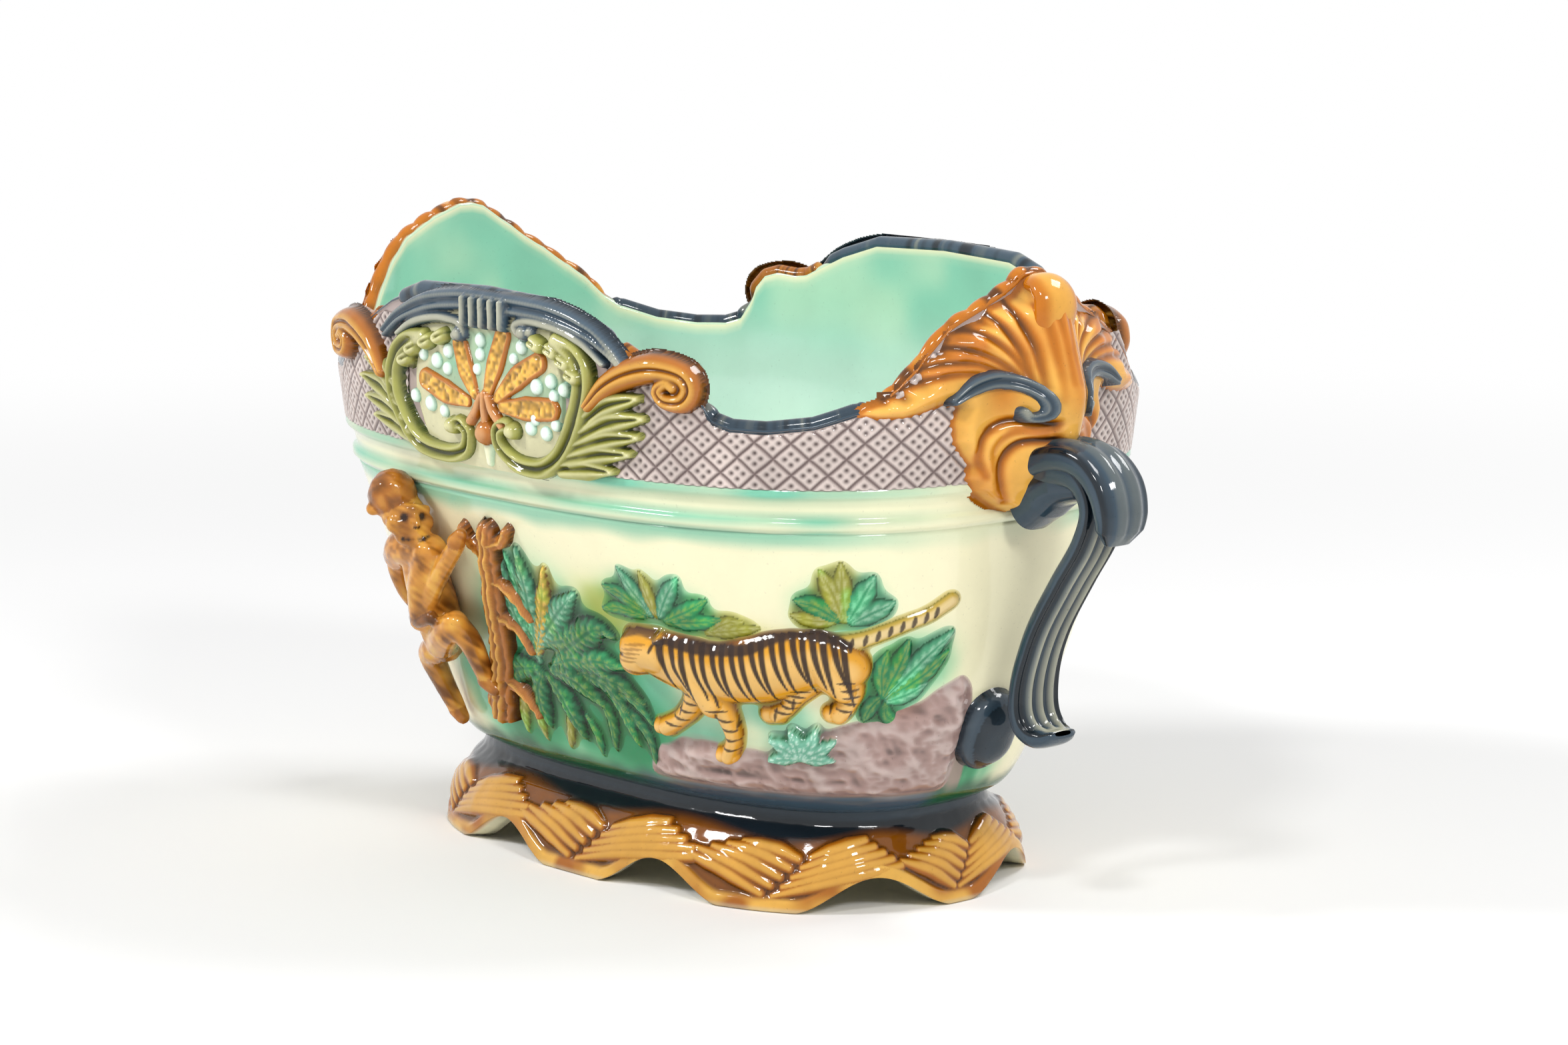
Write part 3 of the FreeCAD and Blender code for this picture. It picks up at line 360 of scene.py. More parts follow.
def joined_mesh(name, meshes):
    """One mesh from several painted ones."""
    points = []
    quads = []
    paints = []
    start = 0
    for some_points, some_quads, some_paint in meshes:
        points.append(some_points)
        quads.append(some_quads + start)
        paints.append(some_paint)
        start += len(some_points)
    return new_mesh(name, np.vstack(points), np.vstack(quads), np.vstack(paints))


def grid_quads(rows, columns, wrap):
    """Corners of the cells of a grid, closed round or not."""
    across = columns if wrap else columns - 1
    row, column = np.meshgrid(np.arange(rows - 1), np.arange(across), indexing="ij")
    beside = (column + 1) % columns
    return np.stack((
        row * columns + column, row * columns + beside, (row + 1) * columns + beside,
        (row + 1) * columns + column), axis=-1).reshape(-1, 4)


def add_piece(name, mesh, material, nodes):
    """Object that rides on the planter and stands for some solids."""
    piece = bpy.data.objects.new(name + "_glazed", mesh)
    bpy.context.scene.collection.objects.link(piece)
    mesh.materials.append(material)
    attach(piece, "root")
    if nodes:
        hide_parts(*nodes)
    return piece


def add_pair(name, mesh, material, front_back=("front", "back"), node=None):
    """A piece and its copy turned by half a turn."""
    turned = mesh.copy()
    turned.transform(Matrix.Rotation(math.pi, 4, "Z"))
    for side, side_mesh in zip(front_back, (mesh, turned)):
        label = name % side
        nodes = [(node or name) % side] if node != "" else []
        side_mesh.name = label
        add_piece(label, side_mesh, material, nodes)


class Relief:
    """A height field over part of a wall, in millimetres, with its painted glaze."""
    under = -0.9
    bare_gap = 0.02
    rough_gap = 0.1
    tint_gap = 0.3
    samples = 721

    def __init__(self, surface, bearings, levels, step, middle=None):
        self.surface = surface
        self.step = step
        middle = middle if middle is not None else sum(levels) / 2
        self.bearings = np.linspace(bearings[0], bearings[1], self.samples)
        points = surface(self.bearings, np.full(self.samples, middle))
        self.runs = run_lengths(points)
        across = np.arange(0.0, self.runs[-1] + step, step)
        up = np.arange(levels[0], levels[1] + step, step)
        self.u, self.v = np.meshgrid(across, up)
        self.bearing = np.interp(self.u, self.runs, self.bearings)
        self.height = np.full(self.u.shape, self.under)
        self.paint = np.zeros(self.u.shape + (3,))

    def place(self, path):
        """Grid coordinates of a path given as bearings and heights."""
        path = np.asarray(path, float)
        return np.column_stack((np.interp(path[:, 0], self.bearings, self.runs), path[:, 1]))

    def measure(self, path, half_width, widths):
        """Where a stroke lies: the points it covers, and their place across, beside and along it."""
        ends = self.place(path)
        length = run_lengths(ends)[-1]
        count = int(np.clip(length / max(half_width * 0.2, self.step), 8, 90))
        line = curve_through(ends, count)
        half_widths = half_width * along_shares(widths, count)
        margin = half_widths.max()
        low = line.min(axis=0) - margin
        high = line.max(axis=0) + margin
        rows, columns = np.nonzero(
            (self.u > low[0]) & (self.u < high[0]) & (self.v > low[1]) & (self.v < high[1]))
        offset_u = self.u[rows, columns][:, None] - line[:, 0]
        offset_v = self.v[rows, columns][:, None] - line[:, 1]
        ratio = (offset_u ** 2 + offset_v ** 2) / half_widths ** 2
        nearest = ratio.argmin(axis=1)
        each = np.arange(len(rows))
        across = np.sqrt(ratio[each, nearest])
        tangent = unit(np.gradient(line, axis=0))
        beside = (
            tangent[nearest, 0] * offset_v[each, nearest]
            - tangent[nearest, 1] * offset_u[each, nearest]) / half_widths[nearest]
        kept = across < 1.0
        return rows[kept], columns[kept], across[kept], beside[kept], nearest[kept] / (count - 1.0)

    def stroke(self, path, half_width, rise, glaze, widths=(1.0, 1.0), rises=(1.0, 1.0), power=0.5,
               groove=0.0, groove_width=0.16, veins=0, vein_depth=0.0, flutes=0, flute_depth=0.0, lift=0.0):
        """Raise a rounded ridge along a path, glazed dark at its edges and in its cuts, where glaze pools
        and shade is painted, over its body to a pale crest, thinner glaze and a painted highlight.
        """
        rows, columns, across, beside, along = self.measure(path, half_width, widths)
        body = (1 - across ** 2) ** power
        tone = body.copy()
        cut = np.zeros_like(body)
        if groove:
            cut += groove * np.exp(-(beside / groove_width) ** 2) * ease(1.0, 0.86, along)
        if veins:
            wave = 0.5 - 0.5 * np.cos(2 * math.pi * (veins * along - 1.1 * np.abs(beside)))
            cut += vein_depth * wave * ease(0.05, 0.3, np.abs(beside))
        if flutes:
            cut += flute_depth * (0.5 + 0.5 * np.cos(math.pi * flutes * (beside + 1)))
        body = body * (1 - cut)
        tone = np.clip(tone - 1.1 * cut, 0, 1)
        height = lift + rise * np.interp(along, np.linspace(0, 1, len(rises)), rises) * body
        raised = height > self.height[rows, columns]
        rows = rows[raised]
        columns = columns[raised]
        self.height[rows, columns] = height[raised]
        # Tones follow the profile: painted shade at the edges and in grooves, veins and flutes, and a
        # painted highlight on the crest, besides pooled and thinned glaze.
        pool, main, ridge = glaze
        tone = tone[raised]
        colour = mixed(np.asarray(pool), np.asarray(main), ease(0.1, 0.75, tone))
        self.paint[rows, columns] = mixed(colour, np.asarray(ridge), 0.75 * ease(0.72, 1.0, tone))

    def tint(self, path, half_width, colour, widths=(1.0, 1.0), strength=1.0, sink=0.0):
        """Paint a line on what is already raised, and press it in a little."""
        rows, columns, across, _, _ = self.measure(path, half_width, widths)
        raised = self.height[rows, columns] > self.under + self.tint_gap
        cover = strength * ease(1.0, 0.55, across) * raised
        self.paint[rows, columns] = mixed(self.paint[rows, columns], colour, cover)
        self.height[rows, columns] -= sink * cover

    def rough(self, size, depth, seed):
        """Uneven the raised clay by hand-sized waves."""
        raised = self.height > self.under + self.rough_gap
        self.height += raised * depth * (grain(self.u + 500, self.v + 500, size, seed) - 0.5)

    def melt(self, reach, strength, skin):
        """Run the glaze of the raised clay out over the ground around it, on a thin skin."""
        raised = (self.height > self.under + self.bare_gap).astype(float)
        cells = max(1, int(reach / self.step / 2))
        weight = spread(raised, cells)
        colour = spread(self.paint * raised[..., None], cells) / np.maximum(weight, 1e-3)[..., None]
        share = (strength * ease(0.0, 0.6, weight))[..., None]
        bare = (raised == 0) & (weight > 0.004)
        self.paint[bare] = stained(body_paint(self.bearing, self.v), colour, share)[bare]
        sunk = -0.45
        self.height[bare] = (sunk + (skin - sunk) * ease(0.0, 0.3, weight))[bare]

    def shape(self, soften=2, pool=0.55, shine=0.35, pool_passes=14):
        """Points, cells and paint of the raised part, darker in its hollows and paler on its ridges: glaze
        pooled and run thin there, and also painted shade and painted highlight.
        """
        raised = self.height > self.under + self.bare_gap
        height = blurred(self.height, soften)
        # Painted shade in the hollows, partly glaze pooled there, and a painted highlight on the ridges,
        # partly thinner glaze.
        hollow = blurred(height, pool_passes) - height
        paint = self.paint * np.exp(-pool * np.clip(hollow, 0, 2.5))[..., None]
        ridge = shine * np.clip(-hollow, 0, 1.0)[..., None]
        paint = paint * (1 + 0.5 * ridge) + 0.05 * ridge
        for _ in range(3):
            number = neighbour_sum(raised.astype(float))
            total = neighbour_sum(paint * raised[..., None])
            ring = (number > 0) & ~raised
            paint[ring] = total[ring] / number[ring][:, None]
            raised = raised | ring
        base = self.surface(self.bearing, self.v)
        points = base + grid_normals(base) * height[..., None]
        rows, columns = self.u.shape
        quads = grid_quads(rows, columns, False)
        quads = quads[raised.ravel()[quads].all(axis=1)]
        used, flat = np.unique(quads, return_inverse=True)
        return points.reshape(-1, 3)[used], flat.reshape(-1, 4), paint.reshape(-1, 3)[used]

    def mesh(self, name, **settings):
        """Mesh of the raised part."""
        return new_mesh(name, *self.shape(**settings))


def swept(path, outward, half_widths, half_depths, sides, paint, flutes=0, flute_depth=0.0, square=1.0):
    """Bar along a path: points, cells and paint. Widths are across, depths towards outward."""
    count = len(path)
    tangent = unit(np.gradient(path, axis=0))
    side = unit(np.cross(tangent, outward))
    face = np.cross(side, tangent)
    turn = np.linspace(0, 2 * math.pi, sides, endpoint=False)
    across = np.sign(np.cos(turn)) * np.abs(np.cos(turn)) ** square
    deep = np.sign(np.sin(turn)) * np.abs(np.sin(turn)) ** square
    along = np.linspace(0, 1, count)[:, None]
    fade = ease(0.0, 0.05, along) * ease(1.0, 0.93, along)
    wave = (0.5 - 0.5 * np.cos(2 * math.pi * flutes * (across + 1) / 2)) * ease(0.0, 0.6, deep)
    cut = flute_depth * fade * wave[None, :]
    points = (
        path[:, None, :] + side[:, None, :] * (half_widths[:, None] * across)[..., None]
        + face[:, None, :] * (half_depths[:, None] * (deep - cut))[..., None])
    colours = np.broadcast_to(paint(along, across[None, :], deep[None, :] - cut), (count, sides, 3))
    start = path[:1] - tangent[:1] * half_depths[0] * 0.5
    end = path[-1:] + tangent[-1:] * half_depths[-1] * 0.5
    rings = [points.reshape(-1, 3)]
    paints = [colours.reshape(-1, 3)]
    quads = [grid_quads(count, sides, True)]
    for tip, ring, flip in ((start, 0, True), (end, count - 1, False)):
        number = sum(len(ring_points) for ring_points in rings)
        small = ring_points_near(points[ring], tip)
        rings.append(small)
        paints.append(colours[ring])
        rings.append(tip)
        paints.append(colours[ring][:1])
        each = np.arange(sides)
        following = (each + 1) % sides
        outer = ring * sides
        band = np.stack((outer + each, outer + following, number + following, number + each), axis=-1)
        centre = np.full(sides, number + sides)
        cap = np.stack((number + each, number + following, centre, centre), axis=-1)
        if flip:
            band = band[:, ::-1]
            cap = cap[:, ::-1]
        quads.append(band)
        quads.append(cap)
    return np.vstack(rings), np.vstack(quads), np.vstack(paints)


def upright(line, count):
    """Smooth path through lengths and heights, upright along the planter, and the direction beside it."""
    path = curve_through([(x, 0.0, z) for x, z in line], count)
    tangent = np.gradient(path, axis=0)
    return path, np.column_stack((-tangent[:, 2], np.zeros(count), tangent[:, 0]))


def ring_points_near(ring, tip):
    """Ring drawn in towards a tip, for a rounded end."""
    ring_share = 0.62
    tip_share = 0.26
    return ring * ring_share + tip[0] * tip_share + ring.mean(axis=0) * (1 - ring_share - tip_share)


def clay(name, tubes, voxel, glazes):
    """Rounded figure: balls along tubes, melted by a voxel remesh and painted by the nearest tube."""
    ball = bmesh.new()
    bmesh.ops.create_icosphere(ball, subdivisions=2, radius=1.0)
    ball_points = np.array([vertex.co[:] for vertex in ball.verts])
    ball_faces = np.array([[vertex.index for vertex in face.verts] for face in ball.faces])
    ball.free()
    centres = []
    radii = []
    owners = []
    for owner, tube in enumerate(tubes):
        tube = np.asarray(tube, float)
        if len(tube) == 1:
            samples = tube
        else:
            length = run_lengths(tube[:, :3])[-1]
            samples = curve_through(tube, max(3, int(length / (0.3 * tube[:, 3].min()))))
        centres.append(samples[:, :3])
        radii.append(samples[:, 3])
        owners.append(np.full(len(samples), owner))
    centres = np.vstack(centres)
    radii = np.concatenate(radii)
    owners = np.concatenate(owners)
    points = (centres[:, None, :] + radii[:, None, None] * ball_points[None]).reshape(-1, 3)
    faces = (np.arange(len(centres))[:, None, None] * len(ball_points) + ball_faces[None]).reshape(-1, 3)
    rough_mesh = new_mesh(name + "_rough", points, faces, np.ones((len(points), 3)))
    holder = bpy.data.objects.new(name + "_rough", rough_mesh)
    bpy.context.scene.collection.objects.link(holder)
    remesh = holder.modifiers.new("melt", "REMESH")
    remesh.mode = "VOXEL"
    remesh.voxel_size = voxel * METRES
    smooth = holder.modifiers.new("smooth", "SMOOTH")
    smooth.factor = 0.5
    smooth.iterations = 5
    seen = holder.evaluated_get(bpy.context.evaluated_depsgraph_get())
    mesh = bpy.data.meshes.new_from_object(seen)
    bpy.data.objects.remove(holder)
    bpy.data.meshes.remove(rough_mesh)
    for layer in list(mesh.color_attributes):
        mesh.color_attributes.remove(layer)
    places = np.empty(len(mesh.vertices) * 3, np.float32)
    mesh.vertices.foreach_get("co", places)
    places = places.reshape(-1, 3) / METRES
    nearest = np.empty(len(places), int)
    batch = 4000
    for start in range(0, len(places), batch):
        part = places[start:start + batch]
        gap = np.linalg.norm(part[:, None, :] - centres[None], axis=2) - radii
        nearest[start:start + batch] = owners[gap.argmin(axis=1)]
    tone = 0.6 * grain(places[:, 0] * 0.7 + places[:, 1], places[:, 2], size=6.0, seed=5)
    tone = tone + 0.4 * grain(places[:, 0] + 40, places[:, 2] * 1.5 + places[:, 1], size=2.2, seed=6)
    pools, mains, ridges = (np.array(tones)[nearest] for tones in zip(*glazes))
    paint = mixed(pools, mains, ease(0.15, 0.6, tone))
    paint = mixed(paint, ridges, 0.75 * ease(0.5, 0.85, tone))
    mesh.materials.clear()
    set_paint(mesh, paint)
    return mesh, places, paint


def wall_tube(places):
    """Tube of a figure from bearings, heights, lifts off the wall and radii."""
    return [
        tuple(wall_site(bearing, height, lift)[0]) + (radius,)
        for bearing, height, lift, radius in places]


# Glazes as shader nodes
class Flow:
    """A value socket; arithmetic on it adds Math nodes."""

    def __init__(self, tree, socket):
        self.tree = tree
        self.socket = socket

    def join(self, operation, first, second):
        return self.tree.add("ShaderNodeMath", {"operation": operation}, {0: first, 1: second})

    def __add__(self, other):
        return self.join("ADD", self, other)

    def __radd__(self, other):
        return self.join("ADD", other, self)

    def __sub__(self, other):
        return self.join("SUBTRACT", self, other)

    def __rsub__(self, other):
        return self.join("SUBTRACT", other, self)

    def __mul__(self, other):
        return self.join("MULTIPLY", self, other)

    def __rmul__(self, other):
        return self.join("MULTIPLY", other, self)


class GlazeTree:
    """The node tree of a material or of the world."""

    def __init__(self, owner):
        owner.use_nodes = True
        self.nodes = owner.node_tree.nodes
        self.links = owner.node_tree.links
        self.nodes.clear()

    def add(self, kind, settings=None, inputs=None, output=0):
        """Add a node: its settings first, then the values or links of its sockets."""
        node = self.nodes.new(kind)
        for key, value in (settings or {}).items():
            setattr(node, key, value)
        for key, value in (inputs or {}).items():
            if isinstance(value, Flow):
                self.links.new(value.socket, node.inputs[key])
            else:
                node.inputs[key].default_value = value
        return None if output is None else Flow(self, node.outputs[output])

    def background_rays(self):
        """Value that is 1 on the rays that see the pale background as white."""
        rays = ("Is Camera Ray", "Is Glossy Ray", "Is Transmission Ray")
        return sum(self.add("ShaderNodeLightPath", output=ray) for ray in rays)


def glaze_material(name, mottle=0.16, speck=0.5, rough=0.05, wave=0.22):
    """Glossy lead glaze over the painted colours, uneven in tone, with fine specks and a rippled face."""
    material = bpy.data.materials.new(name)
    tree = GlazeTree(material)
    paint = tree.add("ShaderNodeAttribute", {"attribute_name": "paint"})
    place = tree.add("ShaderNodeTexCoord", output="Object")

    def noise(scale, detail, roughness=0.5):
        return tree.add(
            "ShaderNodeTexNoise", None,
            {"Vector": place, "Scale": scale, "Detail": detail, "Roughness": roughness})

    cloud = noise(scale=55.0, detail=3.0, roughness=0.55)
    fine = noise(scale=420.0, detail=2.0)
    grit = noise(scale=900.0, detail=1.0)
    ripple = noise(scale=130.0, detail=2.0)
    spot = tree.add(
        "ShaderNodeMapRange", {"interpolation_type": "SMOOTHSTEP"},
        {"Value": grit, "From Min": 0.70, "From Max": 0.78, "To Min": 0.0, "To Max": speck})
    tone = 1.0 + (cloud - 0.5) * (2.0 * mottle) + (fine - 0.5) * (0.5 * mottle)
    tone = tone * (1.0 - spot * 0.4)
    colour = tree.add("ShaderNodeVectorMath", {"operation": "SCALE"}, {0: paint, "Scale": tone})
    bump = tree.add(
        "ShaderNodeBump", None,
        {"Strength": wave, "Distance": 0.0006, "Height": ripple + fine * 0.25})
    roughness = rough + fine * 0.07 + spot * 0.15
    shader = tree.add("ShaderNodeBsdfPrincipled", None, {
        "Base Color": colour, "Roughness": roughness, "Normal": bump, "IOR": 1.46})
    tree.add("ShaderNodeOutputMaterial", None, {"Surface": shader}, output=None)
    return material


def glaze(name):
    """One glaze of the scene's settings as an array."""
    return np.array(getattr(bpy.context.scene.planter_glazes, name)[:])


def blend(**shares):
    """Sum of some glazes by their shares."""
    return sum(glaze(name) * share for name, share in shares.items())


def size(name):
    """One size of the scene's settings."""
    return getattr(bpy.context.scene.planter_sizes, name)


def shared_material(name, **settings):
    """Material by name, made at its first use."""
    return bpy.data.materials.get(name) or glaze_material(name, **settings)


# Washes of glaze on the body: bearing, height, spreads, glaze and strength
BODY_WASHES = (
    (-90, 88, 8, 24, "leaf", 0.5),
    (-93, 84, 6, 22, "leaf", 1.1),
    (-84, 74, 8, 21, "leaf", 1.6),
    (-75, 66, 6, 17, "leaf", 1.5),
    (-80, 96, 6, 11, "leaf", 0.6),
    (-104, 58, 8, 14, "leaf", 1.2),
    (-113, 70, 5, 16, "turquoise", 0.8),
    (-101, 86, 4, 14, "turquoise", 0.7),
    (-69, 80, 4, 9, "turquoise", 0.5),
    (-61, 68, 5, 7, "turquoise", 0.9),
    (-49, 78, 5, 6, "turquoise", 0.9),
    (-44, 66, 5, 6, "turquoise", 0.8),
    (-66, 117, 6, 8, "leaf", 0.38),
    (-74, 111, 5, 9, "moss", 0.45),
    (-54, 109, 6, 4, "moss", 0.5),
    (-35, 121, 5, 9, "leaf", 0.34),
    (-22, 98, 6, 9, "leaf", 0.48),
    (-30, 87, 5, 8, "leaf", 0.6),
    (-4, 52, 9, 11, "leaf", 0.95),
)
# Painted edges of the body: their wave and fade, and the levels where the plinth's glaze sets in
EDGE_WAVE = 3.0
EDGE_FADE = 3.0
PLINTH_LEVELS = (49.0, 42.0)
# Top of the rock bank, as bearings and heights
ROCK_TOP = (
    (-76, 40), (-70, 58), (-62, 63), (-54, 61), (-47, 60), (-40, 70), (-33, 75), (-24, 79), (-16, 86),
    (-10, 90), (-6.5, 85), (-3, 62), (0, 40))


def scene_bearing(bearing):
    """Bearing on the front, for the front and for the back that repeats it."""
    return -((-np.asarray(bearing, float)) % 180.0)


def scene_gap(bearing, place):
    """Bearing from a place of the scene, which comes again after half a turn."""
    return (np.asarray(bearing, float) - place + 90.0) % 180.0 - 90.0


def right_end_highlight(bearing):
    """How near some bearings are to the right end of the scene, from 0 to 1 on both sides of it, as the
    share of the painted highlight that pales the turquoise there.
    """
    gap = scene_gap(bearing, 0.0)
    return np.where(gap < 0, ease(-45.0, -12.0, gap), ease(25.0, 5.0, gap))


def rock_glaze():
    """Glaze of the rocks."""
    return blend(mauve=0.8, blush=0.16, honey=0.08)


def rock_top(bearing):
    """Top of the rock bank at some bearings."""
    places, heights = zip(*ROCK_TOP)
    return np.interp(bearing, places, heights)


def body_paint(bearing, height):
    """Painted ground of the body."""
    front = scene_bearing(bearing)
    wavy = EDGE_WAVE * (around(bearing, height, size=9.0, seed=3) - 0.5)
    paint = np.broadcast_to(glaze("cream"), np.shape(height) + (3,)).copy()
    paint *= (0.97 + 0.06 * around(bearing, height + 90, size=28.0, seed=4))[..., None]
    cloud = 0.55 + 0.9 * around(bearing, height, size=7.0, seed=8)
    for place, level, breadth, rise, name, strength in BODY_WASHES:
        gap = (scene_gap(bearing, place) / breadth) ** 2 + ((height - level) / rise) ** 2
        cover = 1 - np.exp(-2.2 * strength * np.exp(-gap) * cloud)
        paint = stained(paint, glaze(name), cover[..., None])
    cover = 0.85 * ease(EDGE_FADE, -EDGE_FADE, height - rock_top(front) - wavy) * ease(-74.0, -66.0, front)
    paint = mixed(paint, rock_glaze(), cover)
    rocky = ease(-88.0, -66.0, front) * ease(-5.0, -14.0, front)
    tone = mixed(glaze("leaf") * 0.45, glaze("slate") * 1.35, rocky)
    return mixed(paint, tone, ease(*PLINTH_LEVELS, height + wavy))


def moulding_paint(share, bearing):
    """Painted ground of the moulding, from its foot to the band: streaked turquoise with paler cream bands
    across it, painted highlights on its rounds, running out to cream at the right as a painted highlight.
    """
    # Low covers leave cream bands across the moulding: painted highlights.
    stops = (0.0, 0.12, 0.30, 0.42, 0.55, 0.72, 0.90, 1.0)
    covers = (0.85, 0.35, 0.95, 0.6, 0.15, 0.35, 0.95, 0.9)
    streak = around(bearing, np.full_like(bearing, share * 20), size=18.0, seed=17)
    # Towards the right end the turquoise gives way to cream: a painted highlight.
    fade = 1 - 0.75 * right_end_highlight(bearing)
    cover = np.clip(np.interp(share, stops, covers) * (0.55 + 0.75 * streak) * fade, 0, 1)
    return mixed(glaze("cream"), glaze("turquoise") * (0.8 + 0.25 * streak[:, None]), cover)


class PLANTER_OT_vessel(Operator):
    """Make the bowl with its moulding and the trellis of its band"""
    bl_idname = "planter.vessel"
    bl_label = "Vessel"

    columns = 720
    wall_rows = 66
    moulding_rows = 25
    band_rows = 22
    rim_rows = 9
    inner_rows = 64
    recess = 0.7
    rim_round = 2.0
    under_shares = (0.0, 0.4, 0.8, 0.97)
    floor_shares = (0.94, 0.8, 0.6, 0.4, 0.2, 0.0)
    heel_share = 1.6
    edge_levels = (143.0, 150.0)
    edge_wave = 4.0
    leafed_bearings = (31.5, 29.0)
    pale_levels = (208.0, 168.0)
    line_drops = (3.5, 0.5)
    trellis_bearings = (("right", (-67.0, -11.0)), ("left", (-169.0, -106.0)))
    trellis_levels = (BAND_FOOT + 0.4, 216.0)
    trellis_middle = 178.0
    trellis_rise = 0.25
    rim_gap = 1.0
    diamond = (13.4, 11.8)
    line_half = 0.75
    line_depth = 0.75
    dot_half = 0.95
    dot_depth = 0.65

    def bowl(self):
        """Rows of points and paint of the bowl, from the middle below to the middle inside."""
        bearing = np.linspace(-180.0, 180.0, self.columns, endpoint=False)
        thickness = size("wall_thickness")
        top = rim_height(bearing)
        rows = []
        paints = []

        def add(half_length, half_width, height, paint):
            points = oval(half_length, half_width, bearing, height)
            rows.append(points)
            paints.append(np.broadcast_to(paint, points.shape))

        for share in self.under_shares:
            add(HEEL[0] * share, HEEL[1] * share, BODY_BOTTOM, glaze("cream"))
        for height in np.linspace(BODY_BOTTOM, SHOULDER, self.wall_rows):
            half_length, half_width = wall_halves(height)
            level = np.full(self.columns, height)
            wave = self.edge_wave * around(bearing, level, size=14.0, seed=9)
            # The turquoise edge fades near the right end: a painted highlight.
            edge = 0.85 * ease(*self.edge_levels, height + wave) * (1 - 0.8 * right_end_highlight(bearing))
            add(half_length, half_width, height, mixed(body_paint(bearing, level), glaze("turquoise"), edge))
        for share in np.linspace(0.0, 1.0, self.moulding_rows):
            reach = np.interp(share, MOULDING_SHARES, REACH_SHARES) * (BAND_HALVES[0] - SHOULDER_HALVES[0])
            add(SHOULDER_HALVES[0] + reach, SHOULDER_HALVES[1] + reach, SHOULDER + MOULDING * share,
                moulding_paint(share, bearing))
        ground = blend(blush=0.5, mauve=0.4)
        for share in np.linspace(0.02, 1.0, self.band_rows):
            height = BAND_FOOT + (top - BAND_FOOT) * share
            half_length, half_width = wall_halves(height)
            add(half_length - self.recess, half_width - self.recess, height, ground)
        half = thickness / 2
        half_length, half_width = wall_halves(top)
        pale = blend(cream=0.5, mint=0.5)
        leafed = ease(*self.leafed_bearings, np.abs(scene_gap(bearing, 0.0)))
        for turn in np.linspace(0.15, math.pi - 0.15, self.rim_rows):
            reach = half * math.cos(turn) - half
            edge = glaze("slate") if turn < 2.2 else pale
            edge = mixed(edge, glaze("honey") * 0.8, leafed * (turn < 2.6))
            add(half_length + reach, half_width + reach, top + self.rim_round * math.sin(turn), edge)
        thin = blend(mint=0.55, cream=0.45)
        for share in np.linspace(0.0, 1.0, self.inner_rows):
            height = top + (FLOOR_TOP - top) * share
            half_length, half_width = wall_halves(height)
            low = ease(0.30, 0.0, (height - FLOOR_TOP) / (SHOULDER - FLOOR_TOP)) ** 2
            inset = thickness * (1 + self.heel_share * low)
            blotch = around(bearing, height, size=22.0, seed=12)
            streak = around(bearing, height * 0.35, size=9.0, seed=13)
            tone = (0.90 + 0.14 * blotch + 0.05 * streak)[:, None]
            paint = mixed(glaze("mint"), thin, 0.55 * ease(0.45, 0.9, blotch))
            # Paler pearl lower down the inner wall: painted light falling into the bowl.
            paint = mixed(paint, glaze("pearl") * 0.9, 0.75 * ease(*self.pale_levels, height))
            paint = mixed(paint * tone, glaze("cream"), ease(*self.line_drops, top - height))
            add(half_length - inset, half_width - inset, height, paint)
        half_length, half_width = wall_halves(np.array(FLOOR_TOP))
        inset = thickness * (1 + self.heel_share)
        for share in self.floor_shares:
            add((half_length - inset) * share, (half_width - inset) * share, FLOOR_TOP, glaze("mint") * 0.9)
        points = np.stack(rows)
        paint = np.stack(paints)
        return points.reshape(-1, 3), grid_quads(len(rows), self.columns, True), paint.reshape(-1, 3)

    def trellis(self, bearings):
        """Incised trellis between two bearings: lines, and four dots in each diamond."""
        relief = Relief(wall, bearings, self.trellis_levels,
                        step=size("fine_step"), middle=self.trellis_middle)
        across, rise = self.diamond
        u = relief.u / across
        v = (relief.v - BAND_FOOT) / rise
        wobble = 0.04 * (grain(relief.u, relief.v, size=5.0, seed=21) - 0.5)
        lines = np.minimum(
            np.abs((u + v + wobble + 0.5) % 1.0 - 0.5), np.abs((u - v + wobble + 0.5) % 1.0 - 0.5))
        cut = np.exp(-(lines * across * 0.68 / self.line_half) ** 2)
        first = (u + v) % 1.0 - 0.5
        second = (u - v) % 1.0 - 0.5
        dots = np.zeros_like(cut)
        dot_share = 0.17
        for side, turn in ((dot_share, 0.0), (-dot_share, 0.0), (0.0, dot_share), (0.0, -dot_share)):
            distance = np.hypot(first - side - turn, second - side + turn) * across * 0.66
            dots = np.maximum(dots, np.exp(-(distance / self.dot_half) ** 2))
        inside = relief.v < rim_height(relief.bearing) - self.rim_gap
        height = self.trellis_rise - self.line_depth * cut - self.dot_depth * dots
        relief.height = np.where(inside, height, relief.under)
        ground = glaze("blush") * (0.7 + 0.4 * grain(relief.u, relief.v, size=16.0, seed=22)[..., None])
        paint = mixed(ground, glaze("mauve") * 0.5, np.clip(cut * 0.95, 0, 1))
        relief.paint = mixed(paint, glaze("mauve") * 0.34, np.clip(dots, 0, 1))
        return relief.mesh("trellis", soften=0, pool=0.3, shine=0.3, pool_passes=6)

    def execute(self, context):
        material = shared_material("cream_and_mint_glaze", mottle=0.05, speck=0.25, wave=0.12)
        mesh = new_mesh("vessel", *self.bowl())
        add_piece("vessel", mesh, material, ["vessel"])
        band = shared_material("trellis_glaze", mottle=0.14, speck=0.4, wave=0.12)
        for side, bearings in self.trellis_bearings:
            add_pair("trellis_%s_" + side, self.trellis(bearings), band, node="")
        return {"FINISHED"}


